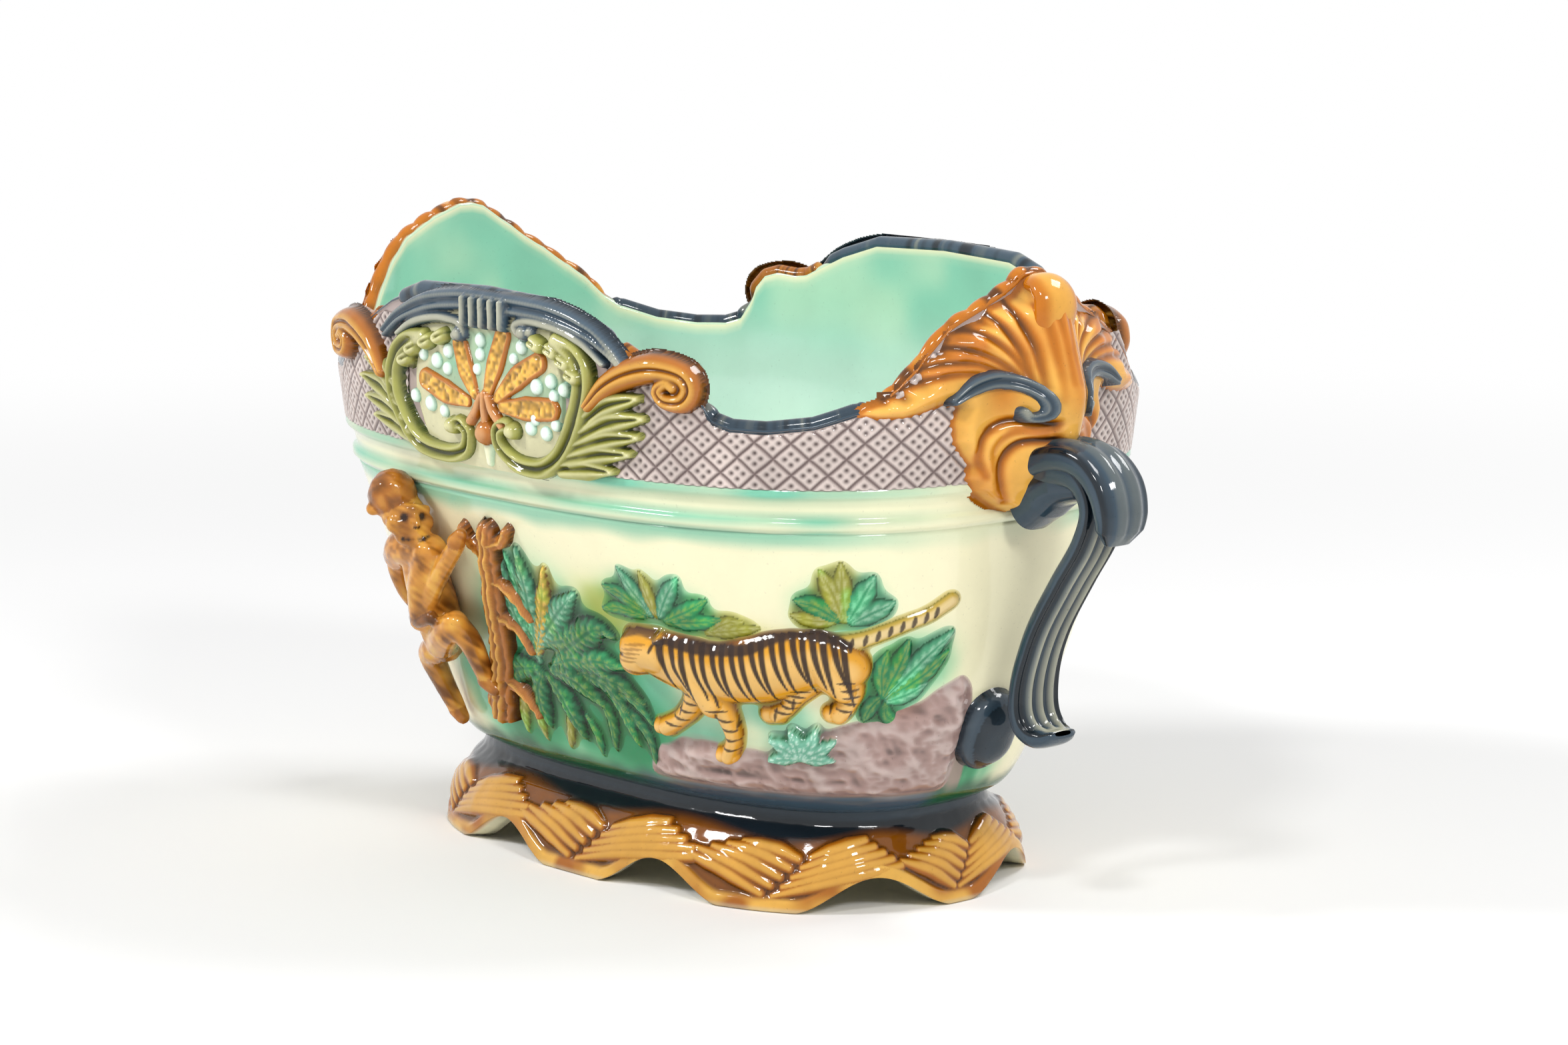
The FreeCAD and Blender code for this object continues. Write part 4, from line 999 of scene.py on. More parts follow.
class PLANTER_OT_foot(Operator):
    """Make the hollow skirt with its twigs, arches and pads"""
    bl_idname = "planter.foot"
    bl_label = "Foot"

    columns = 1500
    rows = 76
    step = 0.6
    coarse_step = 6.0
    middle = 8.0
    arch_rise = 13.0
    arch_half = 31.0
    thickness = 10.0
    lip = 5.0
    lip_soft = 1.4
    lip_rise = 1.9
    uneven = 0.25
    collar_levels = (24.5, 29.0)
    collar_wave = 2.0
    pale_levels = (31.5, 34.5)
    worn_levels = (2.2, 0.4)
    fade_height = 4.0
    edge_shares = (0.3, 0.6, 1.0)
    inner_levels = (10.0, 18.0, 26.0, 34.5)
    seam_turn = 200.0
    twigs = 5
    # Places of the first twig of a bundle, from its pad, and the step from twig to twig
    falling = ((-17.5, 18.0, 3.0, 1.5), (-9.0, 13.4, 2.6, 2.2), (-1.6, 6.4, 1.8, 3.3))
    rising = ((0.6, 5.8, 1.9, 3.6), (13.0, 12.2, 1.0, 3.0), (29.5, 16.6, -2.2, 2.3))
    # Half width and rise of the twigs of each bundle
    falling_size = (3.3, 2.5)
    rising_size = (3.4, 2.4)

    def edge(self, bearing):
        """Height of the lower edge: pads on the ground and arches between them."""
        points = foot_wall(bearing, np.zeros_like(bearing))
        runs = run_lengths(points)
        total = runs[-1] + np.linalg.norm(points[0] - points[-1])
        lift = np.zeros_like(bearing)
        for arch in ARCH_BEARINGS:
            middle = np.interp((arch + self.seam_turn) % 360.0 - self.seam_turn, bearing, runs)
            gap = np.abs((runs - middle + total / 2) % total - total / 2)
            wave = np.cos(0.5 * math.pi * np.clip(gap / self.arch_half, 0, 1)) ** 1.6
            lift = np.maximum(lift, self.arch_rise * wave)
        return lift

    def strands(self, relief):
        """Lay the woven twigs: at each pad some come down from the left and some rise far to the right."""
        # Twigs run from a dark honey at their edges, painted shade with pooled glaze, to gold on their
        # crests, painted highlight with thinner glaze.
        tones = (glaze("honey") * 0.14, glaze("honey") * 0.7, glaze("gold") * 0.85)
        thin = dict(power=0.75, widths=(0.45, 1.0, 1.1, 0.7), rises=(0.5, 1.0, 1.0, 0.7))
        arches = np.array(ARCH_BEARINGS)
        for pad in (arches + np.append(arches[1:], arches[0] + 360.0)) / 2:
            pad = (pad + self.seam_turn) % 360.0 - self.seam_turn
            for bundle, (half_width, rise) in (
                    (self.falling, self.falling_size), (self.rising, self.rising_size)):
                for twig in range(self.twigs):
                    path = [(pad + bearing + turn * twig, height + climb * twig)
                            for bearing, height, turn, climb in bundle]
                    relief.stroke(path, half_width, rise, tones, **thin)

    def drawn_in(self, points, share):
        """Points moved inwards by a share of the thickness."""
        inward = points.copy()
        inward[:, :2] *= 1 - share * self.thickness / np.linalg.norm(points[:, :2], axis=1, keepdims=True)
        return inward

    def execute(self, context):
        bearing = np.linspace(-self.seam_turn, 360.0 - self.seam_turn, self.columns, endpoint=False)
        edge = self.edge(bearing)
        relief = Relief(foot_wall, (-self.seam_turn, 359.99 - self.seam_turn), (0.0, BODY_BOTTOM),
                        self.coarse_step, self.middle)
        share = np.linspace(0.0, 1.0, self.rows)[:, None]
        relief.step = self.step
        relief.bearing = np.broadcast_to(bearing, (self.rows, self.columns)).copy()
        relief.v = edge + (BODY_BOTTOM - edge) * share
        relief.u = np.interp(relief.bearing, relief.bearings, relief.runs)
        lip = ease(self.lip + self.lip_soft, self.lip - self.lip_soft, relief.v - edge)
        relief.height = self.lip_rise * lip
        cloud = ease(0.25, 0.8, grain(relief.u, relief.v, size=9.0, seed=32))
        lip_paint = mixed(glaze("honey") * 0.7, glaze("gold") * 0.85, cloud)
        # Between the twigs the wall is a dark honey: painted shade in the recesses, partly pooled glaze.
        relief.paint = mixed(glaze("honey") * 0.4, lip_paint, lip)
        self.strands(relief)
        relief.height = blurred(relief.height, 2)
        relief.height += self.uneven * (grain(relief.u, relief.v, size=5.0, seed=31) - 0.5)
        # Darker still in the hollows: painted shade, partly glaze pooled there.
        hollow = blurred(relief.height, 10) - relief.height
        paint = relief.paint * np.exp(-1.3 * np.clip(hollow, 0, 2))[..., None]
        wave = self.collar_wave * np.cos(np.radians(relief.bearing * len(ARCH_BEARINGS)))
        slate = glaze("slate") * (0.16 + 0.5 * ease(*self.pale_levels, relief.v))[..., None]
        paint = mixed(paint, slate, ease(*self.collar_levels, relief.v + wave))
        paint = mixed(paint, glaze("cream") * 0.55, 0.5 * ease(*self.worn_levels, relief.v))
        base_points = foot_wall(relief.bearing, relief.v)
        fade = ease(BODY_BOTTOM, BODY_BOTTOM - self.fade_height, relief.v)
        outer = base_points + grid_normals(base_points) * (relief.height * fade)[..., None]
        clay_tone = glaze("cream") * 0.8
        inner = [(self.drawn_in(outer[0], share), clay_tone) for share in self.edge_shares]
        inner_top = self.inner_levels[-1]
        for height in self.inner_levels:
            points = foot_wall(bearing, np.full_like(bearing, height))
            points[:, 2] = np.maximum(edge, 0) + (inner_top - edge) * height / inner_top
            inner.append((self.drawn_in(points, 1.0), clay_tone * 0.9))
        inner_points, inner_tones = zip(*inner[::-1])
        grid = np.concatenate((np.stack(inner_points), outer))
        inner_paint = [np.broadcast_to(tone, outer[0].shape) for tone in inner_tones]
        colours = np.concatenate((np.stack(inner_paint), paint))
        quads = grid_quads(len(grid), self.columns, True)
        mesh = new_mesh("foot", grid.reshape(-1, 3), quads, colours.reshape(-1, 3))
        material = shared_material("brown_and_slate_glaze", mottle=0.2)
        add_piece("foot", mesh, material, ["foot"])
        return {"FINISHED"}


class PLANTER_OT_handles(Operator):
    """Make the fluted scroll handles and the pads that carry them"""
    bl_idname = "planter.handles"
    bl_label = "Handles"

    strap = (
        (167, 164.5), (176, 169), (190, 172.5), (201, 169.5), (206.5, 160), (202.5, 147), (191.5, 131),
        (180, 113), (173.5, 97), (171.5, 84), (173.2, 76.5), (177.5, 72.4), (183, 71.8), (187, 73.6))
    cap = (
        (167, 169), (177, 174), (191, 177.6), (203.5, 176), (212.4, 168.5), (215.6, 158), (213.8, 147.5))
    root = ((168, 157), (176, 161.5), (186, 166), (198, 167))
    # Line, half width, half depth, width shares, depth shares, flutes, flute depth and pale share
    bars = (
        (strap, 10.4, 5.0, (0.6, 0.75, 0.9) + (1.0,) * 14 + (1.04, 1.08, 1.1, 1.1, 1.02, 0.62),
         (1.3, 1.4, 1.5, 1.5, 1.4, 1.2, 1.05) + (0.92,) * 12 + (1.0, 1.05, 0.9, 0.3), 4, 0.42, 0.85),
        (cap, 12.0, 6.6, (0.8, 0.95) + (1.02,) * 8 + (1.0, 0.96, 0.88, 0.5),
         (0.8, 0.95) + (1.0,) * 8 + (0.95, 0.9, 0.75, 0.25), 3, 0.2, 0.18),
        (root, 10, 10.5, (1, 1, 0.95, 0.8), (1, 0.95, 0.75, 0.5), 0, 0, 0))
    boss_line = ((1.2, 66.5), (1.2, 71.0))

    def bar(self, line, half_width, half_depth, widths, depths, flutes, flute_depth, pale_share):
        """Bar along a line of lengths and heights, darker in its flutes, painted shade, and paler on the
        ridges of its outer face, partly thinner glaze and partly a painted highlight.
        """
        count = 150
        path, outward = upright(line, count)
        # The pale slate of the outer ridges: thinner glaze and a painted highlight.
        thin = blend(slate=0.5, cream=0.4)

        def paint(along, across, deep):
            ridge = np.where(deep > 0.25, ease(0.42, 0.95, deep), 0.55) + 0.0 * along * across
            body = mixed(glaze("slate") * 0.2, glaze("slate"), ease(0.0, 0.7, ridge))
            return mixed(body, thin, pale_share * ease(0.72, 1.0, ridge))

        return swept(path, outward, half_width * along_shares(widths, count),
                     half_depth * along_shares(depths, count), 64, paint, flutes, flute_depth, 0.72)

    def execute(self, context):
        material = shared_material("slate_glaze", mottle=0.2)
        mesh = joined_mesh("handle", [self.bar(*bar) for bar in self.bars])
        add_pair("handle_%s", mesh, material, ("right", "left"))
        boss = Relief(wall, bearings=(-16.0, 16.0), levels=(46.0, 92.0), step=size("relief_step"))
        # Both slate sets are shaded by the stroke: dark at the edges, painted shade, and pale on the crest,
        # painted highlight.
        dark = (glaze("slate") * 0.15, glaze("slate") * 0.32, glaze("slate") * 0.6)
        pale = (glaze("slate") * 0.25, glaze("slate") * 0.7, glaze("slate") * 1.3)
        boss.stroke(self.boss_line, half_width=13.2, rise=8.0, glaze=pale, power=0.3)
        boss.stroke(self.boss_line, half_width=11.2, rise=11.0, glaze=dark, power=0.4)
        boss.rough(size=7.0, depth=0.4, seed=41)
        add_pair("handle_boss_%s", boss.mesh("boss"), material, ("right", "left"))
        return {"FINISHED"}


class PLANTER_OT_end_leaves(Operator):
    """Make the acanthus leaves over the ends and the small scrolls set in them"""
    bl_idname = "planter.end_leaves"
    bl_label = "End leaves"

    rim_clearance = 2.2
    outline = (
        (0, 244), (-2, 243.6), (-5, 240.4), (-7.4, 239.4), (-10.4, 238.4), (-12, 234), (-15, 232.6),
        (-18.2, 230.6), (-19.4, 225), (-21.6, 223.4), (-23.4, 221), (-23.2, 216.4), (-25.6, 214.2),
        (-26.6, 212), (-26, 208), (-28.2, 205.6), (-29.4, 203.4), (-29, 200.2), (-31.6, 197.4),
        (-33.2, 194.4), (-30, 192.8), (-26, 192.6), (-22.4, 194.2), (-19.4, 196.4), (-17, 195.6),
        (-17.8, 190), (-17.4, 183), (-15.6, 177.4), (-14.2, 173.6), (-14.6, 169), (-13, 163.6),
        (-10.4, 159.6), (-7.2, 156), (-4.4, 153.6), (-1.6, 154.8), (0, 157))
    grooves = (
        ((-7.6, 236.6), (-6.4, 228), (-4.8, 217), (-4.4, 203)),
        ((-12, 231), (-9.4, 225.5), (-6.8, 216), (-5.6, 203)),
        ((-19.4, 224.8), (-13.2, 222.6), (-8.2, 215), (-5.4, 203.5)),
        ((-23.2, 216.6), (-17.2, 217.6), (-11.2, 213.4), (-6.8, 206)),
        ((-26, 208.3), (-20.6, 211.8), (-14.6, 211.8), (-9.6, 208)),
        ((-29, 200.4), (-24, 205.6), (-18.6, 208.2), (-13.6, 208)),
        ((-3, 189), (-8.6, 190.4), (-12.4, 186.4), (-13.2, 178.6), (-11.8, 170.6)),
        ((-2.4, 185.4), (-6.8, 183), (-9.2, 176), (-9, 168), (-7, 160.4)))
    fine_grooves = (
        ((-3.4, 231), (-2.6, 222), (-2.4, 210), (-2.6, 198)),
        ((-1, 228), (-0.6, 216), (-0.8, 204)),
        ((-15.4, 229.4), (-10.6, 224.8), (-7, 217)),
        ((-21.4, 220.6), (-15, 220), (-9.8, 214.6)),
        ((-24.8, 212.2), (-18.8, 214.8), (-12.8, 212.8)),
        ((-3.8, 187.4), (-8, 187), (-10.8, 181.4), (-10.8, 173)))
    scroll = (
        (-18.4, 199), (-15, 203.6), (-11, 205.6), (-7, 203.4), (-4.6, 198), (-4.6, 193), (-6.6, 191.6),
        (-7.6, 194.2))
    knob = (
        (171, 203), (176.5, 214), (180, 224.5), (181, 233), (177, 238), (171.5, 238.6))
    low_share = 0.84
    narrow_share = 0.92
    tip_bearing = -3.0
    waist = 195.0
    lowered_levels = (196.0, 212.0)
    spine_levels = (150, 158, 166, 174, 182, 190, 198, 206, 216, 226, 234, 241, 247)
    spine_lifts = (0, 1, 4, 9, 13, 16, 16.5, 15, 12, 9, 6, 3, 0.5)
    breadth_levels = (150.0, 180.0, 200.0, 222.0, 236.0)
    breadths = (12.0, 13.0, 15.0, 11.0, 8.0)
    crown_lift = 3.0
    crown_breadth = 26.0
    curl_half_width = 10.0
    curl_half_depth = 5.4
    sheet_rise = 2.6
    swell = 2.8
    swell_reach = 3.4
    groove_half = 1.55
    groove_depth = 2.6
    groove_fade = 4.0
    rim_reach = 6.5
    edge_reach = 2.0
    edge_radius = 2.6
    edge_bearing = 31.0
    scroll_lift = 4.4

    def spine(self, relief):
        """How far the leaf stands out along its middle."""
        side = relief.u - relief.place([(0.0, 200.0)])[0, 0]
        breadth = np.interp(relief.v, self.breadth_levels, self.breadths)
        middle = smooth_line(relief.v, self.spine_levels, self.spine_lifts) * np.exp(-(side / breadth) ** 2)
        return middle + self.crown_lift * np.exp(-(side / self.crown_breadth) ** 2)

    def curl(self, tones):
        """The rounded tip that rolls out over the top of the leaf."""
        count = 60
        path, inward = upright(self.knob, count)
        pool, main, ridge = tones

        # The roll is paler along its middle and towards its top, painted highlight, and darker at its sides,
        # painted shade.
        def paint(along, across, deep):
            tone = 0.68 + 0.3 * ease(1.0, 0.3, np.abs(across)) + 0.2 * (along - 0.4) + 0.0 * deep
            return mixed(mixed(pool, main, ease(0.1, 0.6, tone)), ridge, 0.7 * ease(0.75, 1.1, tone))

        width_shares = (0.3, 0.5, 0.72, 0.95, 1.0, 0.9, 0.7)
        depth_shares = (0.5, 0.8, 1.0, 1.0, 0.95, 0.85, 0.7)
        return swept(path, -inward, self.curl_half_width * along_shares(width_shares, count),
                     self.curl_half_depth * along_shares(depth_shares, count), 40, paint)

    def corner(self, bearing, height, drop):
        """Corner of the outline, lowered near the rim by the clearance and a drop."""
        return bearing, height - (self.rim_clearance + drop) * float(ease(*self.lowered_levels, height))

    def corners(self, drops):
        """Outline of the leaf: the front half, then the narrower and lower half behind it."""
        places = [self.corner(b, z, np.interp(-b, *zip(*drops))) for b, z in self.outline]
        for b, z in self.outline[::-1]:
            share = self.low_share if b < self.tip_bearing and z > self.waist else 1.0
            height = self.waist + (z - self.waist) * share
            places.append(self.corner(-b * self.narrow_share, height, 0.0))
        return places

    def leaf(self, tones, drops):
        """Sheet inside the scalloped outline, swollen between its grooves and along its spine."""
        relief = Relief(wall, bearings=(-38.0, 38.0), levels=(150.0, 247.0),
                        step=size("relief_step"), middle=205.0)
        corners = relief.place(self.corners(drops))
        inside = np.zeros(relief.u.shape, bool)
        gap = np.full(relief.u.shape, 99.0)
        for start, end in zip(corners, np.roll(corners, -1, axis=0)):
            crosses = (start[1] > relief.v) != (end[1] > relief.v)
            slope = (end[0] - start[0]) / (end[1] - start[1] if end[1] != start[1] else 1e-9)
            inside ^= crosses & (relief.u < start[0] + (relief.v - start[1]) * slope)
            run = end - start
            share = ((relief.u - start[0]) * run[0] + (relief.v - start[1]) * run[1]) / max(run @ run, 1e-9)
            share = np.clip(share, 0, 1)
            gap = np.minimum(gap, np.hypot(
                relief.u - start[0] - share * run[0], relief.v - start[1] - share * run[1]))
        deep = np.full(relief.u.shape, 40.0)
        cut = np.zeros(relief.u.shape)
        for paths, strength in ((self.grooves, 1.0), (self.fine_grooves, 0.45)):
            for path in paths:
                for side in (1, -1):
                    line = curve_through(relief.place([(b * side, z) for b, z in path]), 60)
                    for place, fade in zip(line, np.linspace(1.0, 0.3, len(line))):
                        distance = np.hypot(relief.u - place[0], relief.v - place[1])
                        mark = strength * fade * np.exp(-(distance / self.groove_half) ** 2)
                        np.maximum(cut, mark, out=cut)
                        if strength == 1.0:
                            np.minimum(deep, distance + self.groove_fade * (1 - fade), out=deep)
        swell = self.swell * (1 - np.exp(-deep / self.swell_reach))
        rim = ease(0.0, self.rim_reach, gap) ** 0.75
        height = rim * (self.sheet_rise + self.spine(relief) + swell - self.groove_depth * cut)
        relief.height = np.where(inside, height, relief.under)
        pool, main, ridge = tones
        # Darker in the grooves and near the outline: painted shade, partly glaze pooled there; the cloud is
        # uneven glaze.
        cloud = grain(relief.u, relief.v * 0.6, size=11.0, seed=52)
        tone = (1 - 0.95 * cut) * (0.6 + 0.54 * cloud) * (0.55 + 0.45 * ease(0.0, self.edge_reach, gap))
        paint = mixed(pool, main, ease(0.05, 0.62, tone))
        relief.paint = mixed(paint, ridge, 0.85 * ease(0.62, 1.05, tone))
        relief.rough(size=6.0, depth=0.5, seed=51)
        return relief.shape(soften=2, pool=0.75, shine=0.7)

    def execute(self, context):
        # Honey set: a dark tone, painted shade with pooled glaze, honey, and gold, painted highlight with
        # thinner glaze.
        tones = (glaze("honey") * 0.2, glaze("honey"), glaze("gold"))
        level = ((0.0, 0.0), (33.0, 0.0))
        for side, drops, turn in (("right", RIM_DROP_RIGHT, 0.0), ("left", level, 180.0)):
            bearings = (turn - self.edge_bearing, turn + self.edge_bearing)
            edge = rim_roll(bearings, self.edge_radius, tones, scallops=14)
            mesh = joined_mesh("end_leaf", [self.leaf(tones, drops), self.curl(tones)])
            if side == "left":
                mesh.transform(Matrix.Scale(-1.0, 4, (1.0, 0.0, 0.0)))
                mesh.flip_normals()
            material = shared_material("honey_glaze", mottle=0.2)
            add_piece("end_leaf_" + side, mesh, material, ["end_leaf_" + side])
            mesh = joined_mesh("end_leaf_edge", [edge])
            add_piece("end_leaf_edge_" + side, mesh, material, [])
        # Slate set of the scrolls: a dark tone, painted shade, and a pale tone, painted highlight.
        slate = (glaze("slate") * 0.3, glaze("slate"), blend(slate=0.5, cream=0.3))
        for side, labels in ((1, ("right_front", "left_back")), (-1, ("right_back", "left_front"))):
            scroll = Relief(wall, bearings=(-24.0, 24.0), levels=(184.0, 214.0),
                            step=size("fine_step"), middle=200.0)
            path = [(b * side, z) for b, z in self.scroll]
            scroll.stroke(path, half_width=3.7, rise=4.2, glaze=slate,
                          widths=(0.6, 1.0, 1.05, 0.9, 0.75, 0.6), groove=0.45, groove_width=0.3)
            lift = self.scroll_lift + self.spine(scroll)
            scroll.height += np.where(scroll.height > scroll.under, lift, 0.0)
            add_pair("leaf_scroll_%s", scroll.mesh("leaf_scroll"), shared_material("slate_glaze"),
                     labels)
        return {"FINISHED"}


def rim_roll(bearings, radius, tones, scallops=0):
    """Roll of glazed clay along the rim between two bearings."""
    count = int(abs(bearings[1] - bearings[0]) * 4) + 8
    bearing = np.linspace(bearings[0], bearings[1], count)
    top = rim_height(bearing)
    half_length, half_width = wall_halves(top)
    inset = size("wall_thickness") / 2
    path = oval(half_length - inset, half_width - inset, bearing, top + radius * 0.2)
    outward = oval(1.0, 1.0, bearing, np.zeros(count))
    width = np.full(count, radius)
    if scallops:
        width = radius * (0.78 + 0.34 * np.abs(np.sin(np.linspace(0, math.pi * scallops, count))))
    end_share = 0.06
    along = np.linspace(0, 1, count)
    width *= 0.25 + 0.75 * ease(0.0, end_share, along) * ease(1.0, 1.0 - end_share, along)
    pool, main, ridge = tones

    def paint(along, across, deep):
        tone = grain(along * 300 + 50, 0.0 * along + 50, size=9.0, seed=61) + 0.0 * across * deep
        return mixed(mixed(pool, main, ease(0.1, 0.5, tone)), ridge, 0.5 * ease(0.6, 1.0, tone))

    return swept(path, outward, width, width, 20, paint)


# Cartouche, as bearings and heights
FRAME_ARCH = (
    (-110.4, 209), (-106.6, 216.5), (-100.6, 223), (-94.2, 226), (-89, 226.5), (-83.6, 226.3),
    (-76.4, 225.3), (-70, 220.5), (-66.5, 214.5), (-64.4, 209))
FRAME_INNER = (
    (-106.8, 209.5), (-103.2, 215), (-98, 218.2), (-93.4, 217.5), (-92.4, 213.8), (-94.2, 212.4))
FRAME_INNER_RIGHT = (
    (-67.2, 209), (-70.2, 215.5), (-74, 219.8), (-79, 221.6), (-82, 219.5), (-81, 216.4), (-79.2, 217.6))
SCROLL_RIGHT = (
    (-83.2, 179.8), (-84.6, 181.6), (-86.2, 178.6), (-85.7, 172.6), (-82.6, 167.4), (-78.4, 167),
    (-75, 172.4), (-72.4, 183), (-70.8, 195.3), (-70.7, 205), (-72, 211.6), (-74.6, 215.4))
SCROLL_LEFT = (
    (-95.2, 178), (-93.8, 179.4), (-92.4, 176), (-93.4, 169.4), (-97.6, 166.6), (-103.4, 169),
    (-106.6, 178), (-108.2, 190.4), (-107.4, 201), (-104.6, 207.4), (-101, 209.5))
TOP_LOBES_RIGHT = ((-78.5, 214.2), (-75.6, 212.3), (-73.6, 208.6), (-72.2, 204.0))
TOP_LOBES_LEFT = ((-104.3, 201.0), (-102.6, 205.6), (-99.6, 209.0), (-96.6, 211.8))
TAILS_RIGHT = (
    ((-70.2, 187), (-67, 193.6), (-62.2, 197.6)),
    ((-70.6, 182), (-66.6, 187.6), (-61.4, 190.4)),
    ((-71.6, 177), (-67, 181.6), (-62.2, 183.6)),
    ((-73, 172), (-68.4, 175.6), (-63.6, 176.8)),
    ((-74.6, 168.2), (-70.4, 169.6), (-66.4, 169.4)))
TAILS_LEFT = (
    ((-108, 187), (-110.8, 193.2), (-115, 197.4)),
    ((-107.8, 181), (-111.4, 187), (-116.4, 190)),
    ((-107, 175.6), (-110.8, 180.4), (-115.4, 182.6)),
    ((-105.6, 170.6), (-109.4, 174.2), (-113.6, 175.8)))
PALMETTE_LOBES = (
    ((-92.2, 188), (-96.5, 190), (-101, 193.6)),
    ((-90.6, 191), (-92.4, 200), (-93.6, 209.4)),
    ((-88.1, 191.5), (-86.4, 204), (-84.9, 214.6)),
    ((-86, 191), (-82, 200), (-78.2, 206.4)),
    ((-85, 187.9), (-80.4, 188.6), (-76, 189.6)))
PEARLS = (
    (-89.5, 211.8, 2.4), (-101.6, 203, 2.2), (-98.6, 201.4, 2.6), (-96.4, 199, 2.2), (-89.6, 206.4, 2.2),
    (-90.2, 200.6, 2), (-96.2, 205.8, 2.4), (-81.4, 211.4, 2.4), (-82.9, 206.6, 2), (-78.6, 197.4, 2.6),
    (-76.1, 200.2, 2.4), (-73.9, 197.6, 2.2), (-75.6, 194.8, 2), (-100.2, 184.6, 2.6),
    (-97.4, 182.6, 2.2), (-103.6, 186.4, 2.2), (-80, 181.6, 2.4), (-77.2, 180.4, 2.4), (-79, 185.2, 2),
    (-75.4, 184, 2))


class PLANTER_OT_cartouches(Operator):
    """Make the arched frames with their fields, scrolls, palmettes and pearls"""
    bl_idname = "planter.cartouches"
    bl_label = "Cartouches"

    wall_middle = 195.0
    field_levels = (172.0, 190.0, 208.0)
    field_middle = -89.0
    blooms = ((-91.0, 207.0), (-83.0, 207.0), (-95.0, 195.0), (-79.0, 193.0))
    frame_knobs = ((-93.2, 213.4), (-80.4, 217.2))
    clasp_start = -91.6
    clasp_step = 1.9
    clasp_levels = (217.5, 222.0, 227.5)
    pearl_step_share = 0.8
    lobe_half = 5.2
    lobe_width_shares = (0.5, 1.0, 0.9)
    stems = (
        ((-91.6, 181), (-90, 186), (-89, 191)), ((-85.2, 181), (-86.8, 186), (-87.6, 191)),
        ((-88.4, 178), (-88.4, 186), (-88.4, 192)))
    knob = ((-88.6, 177.2), (-88.4, 177.8))
    pendant = ((-88.6, 172), (-88.6, 166))

    def framed_field(self):
        """Field and arched frame with its clasp, and the roll along its rim."""
        # Slate set of the frame: a dark tone, painted shade with pooled glaze, and a pale tone, painted
        # highlight with thinner glaze.
        slate = (glaze("slate") * 0.3, glaze("slate") * 1.3, blend(slate=0.4, cream=0.5))
        field = Relief(wall, bearings=(-112.0, -60.0), levels=(163.0, 231.0),
                       step=size("fine_step"), middle=200.0)
        ground = blend(cream=0.62, moss=0.2)
        path = [(self.field_middle, level) for level in self.field_levels]
        # The field is darker towards its edges, painted shade, and lighter over its middle, painted light.
        field.stroke(path, half_width=46.0, rise=1.3, glaze=(ground * 0.8, ground, ground * 1.1),
                     widths=(0.5, 0.98, 0.86), power=0.12)
        field.height[field.v > rim_height(field.bearing) - 1.0] = field.under
        for middle, level in self.blooms:
            path = [(middle - 3, level), (middle + 3, level)]
            field.tint(path, half_width=11.0, colour=glaze("turquoise") * 0.85, strength=0.55)
        field.tint([(-69.0, 200), (-67.6, 212)], half_width=8.0, colour=glaze("mauve") * 0.8, strength=0.8)
        field.stroke(FRAME_ARCH, half_width=4.6, rise=4.8, glaze=slate,
                     widths=(0.6, 1.0, 1.0, 1.0, 1.0, 0.6), groove=0.42, groove_width=0.3)
        for path in (FRAME_INNER, FRAME_INNER_RIGHT):
            field.stroke(path, half_width=2.4, rise=4.6, glaze=slate, widths=(0.7, 1.0, 1.0, 1.0, 1.2))
        for bearing, height in self.frame_knobs:
            field.stroke([(bearing, height), (bearing + 0.2, height)], half_width=3.6, rise=6.2, glaze=slate)
        low, middle, high = self.clasp_levels
        for index in range(5):
            bearing = self.clasp_start + self.clasp_step * index
            path = [(bearing, low), (bearing + 0.1, middle), (bearing, high)]
            field.stroke(path, half_width=2.6, rise=7.0, glaze=slate, widths=(0.6, 1.0, 0.8), power=0.7)
        field.rough(size=5.0, depth=0.35, seed=71)
        front = field.shape(soften=1, pool=0.6, shine=0.4)
        return joined_mesh("cartouche_frame", [front, rim_roll((-110.5, -65.5), 3.6, slate)])

    def acanthus(self, side, bearings, scroll, lobes, tails):
        """C-scroll with its leaf tails and the small lobes at its top."""
        # Moss set: dark green in the grooves and at the edges, painted shade with pooled glaze, and
        # cream-olive on the crests, painted highlight.
        moss = (blend(leaf=0.12, moss=0.08), blend(moss=0.7, cream=0.06), blend(moss=0.35, cream=0.55))
        relief = Relief(wall, bearings, levels=(160.0, 220.0), step=size("fine_step"), middle=190.0)
        for path in tails:
            relief.stroke(path, half_width=5.2, rise=4.4, glaze=moss, widths=(0.8, 1.0, 0.3), groove=0.6,
                          groove_width=0.22)
        relief.stroke(scroll, half_width=4.6, rise=5.6, glaze=moss,
                      widths=(0.7, 0.8, 0.9, 1.0, 1.15, 1.1, 0.9), groove=0.6, groove_width=0.3)
        start, level = scroll[0]
        relief.stroke([scroll[0], (start + 0.3 * side, level)], half_width=3.8, rise=6.4, glaze=moss)
        for bearing, height in lobes:
            path = [(bearing, height), (bearing + 0.9 * side, height - 1.2)]
            relief.stroke(path, half_width=3.4, rise=6.6, glaze=moss, groove=0.3)
        relief.rough(size=4.0, depth=0.4, seed=73 + side)
        return relief.mesh("acanthus", soften=1, pool=0.75, shine=0.6)

    def palmette(self):
        """Five pitted lobes with their stems, a knob and a pendant."""
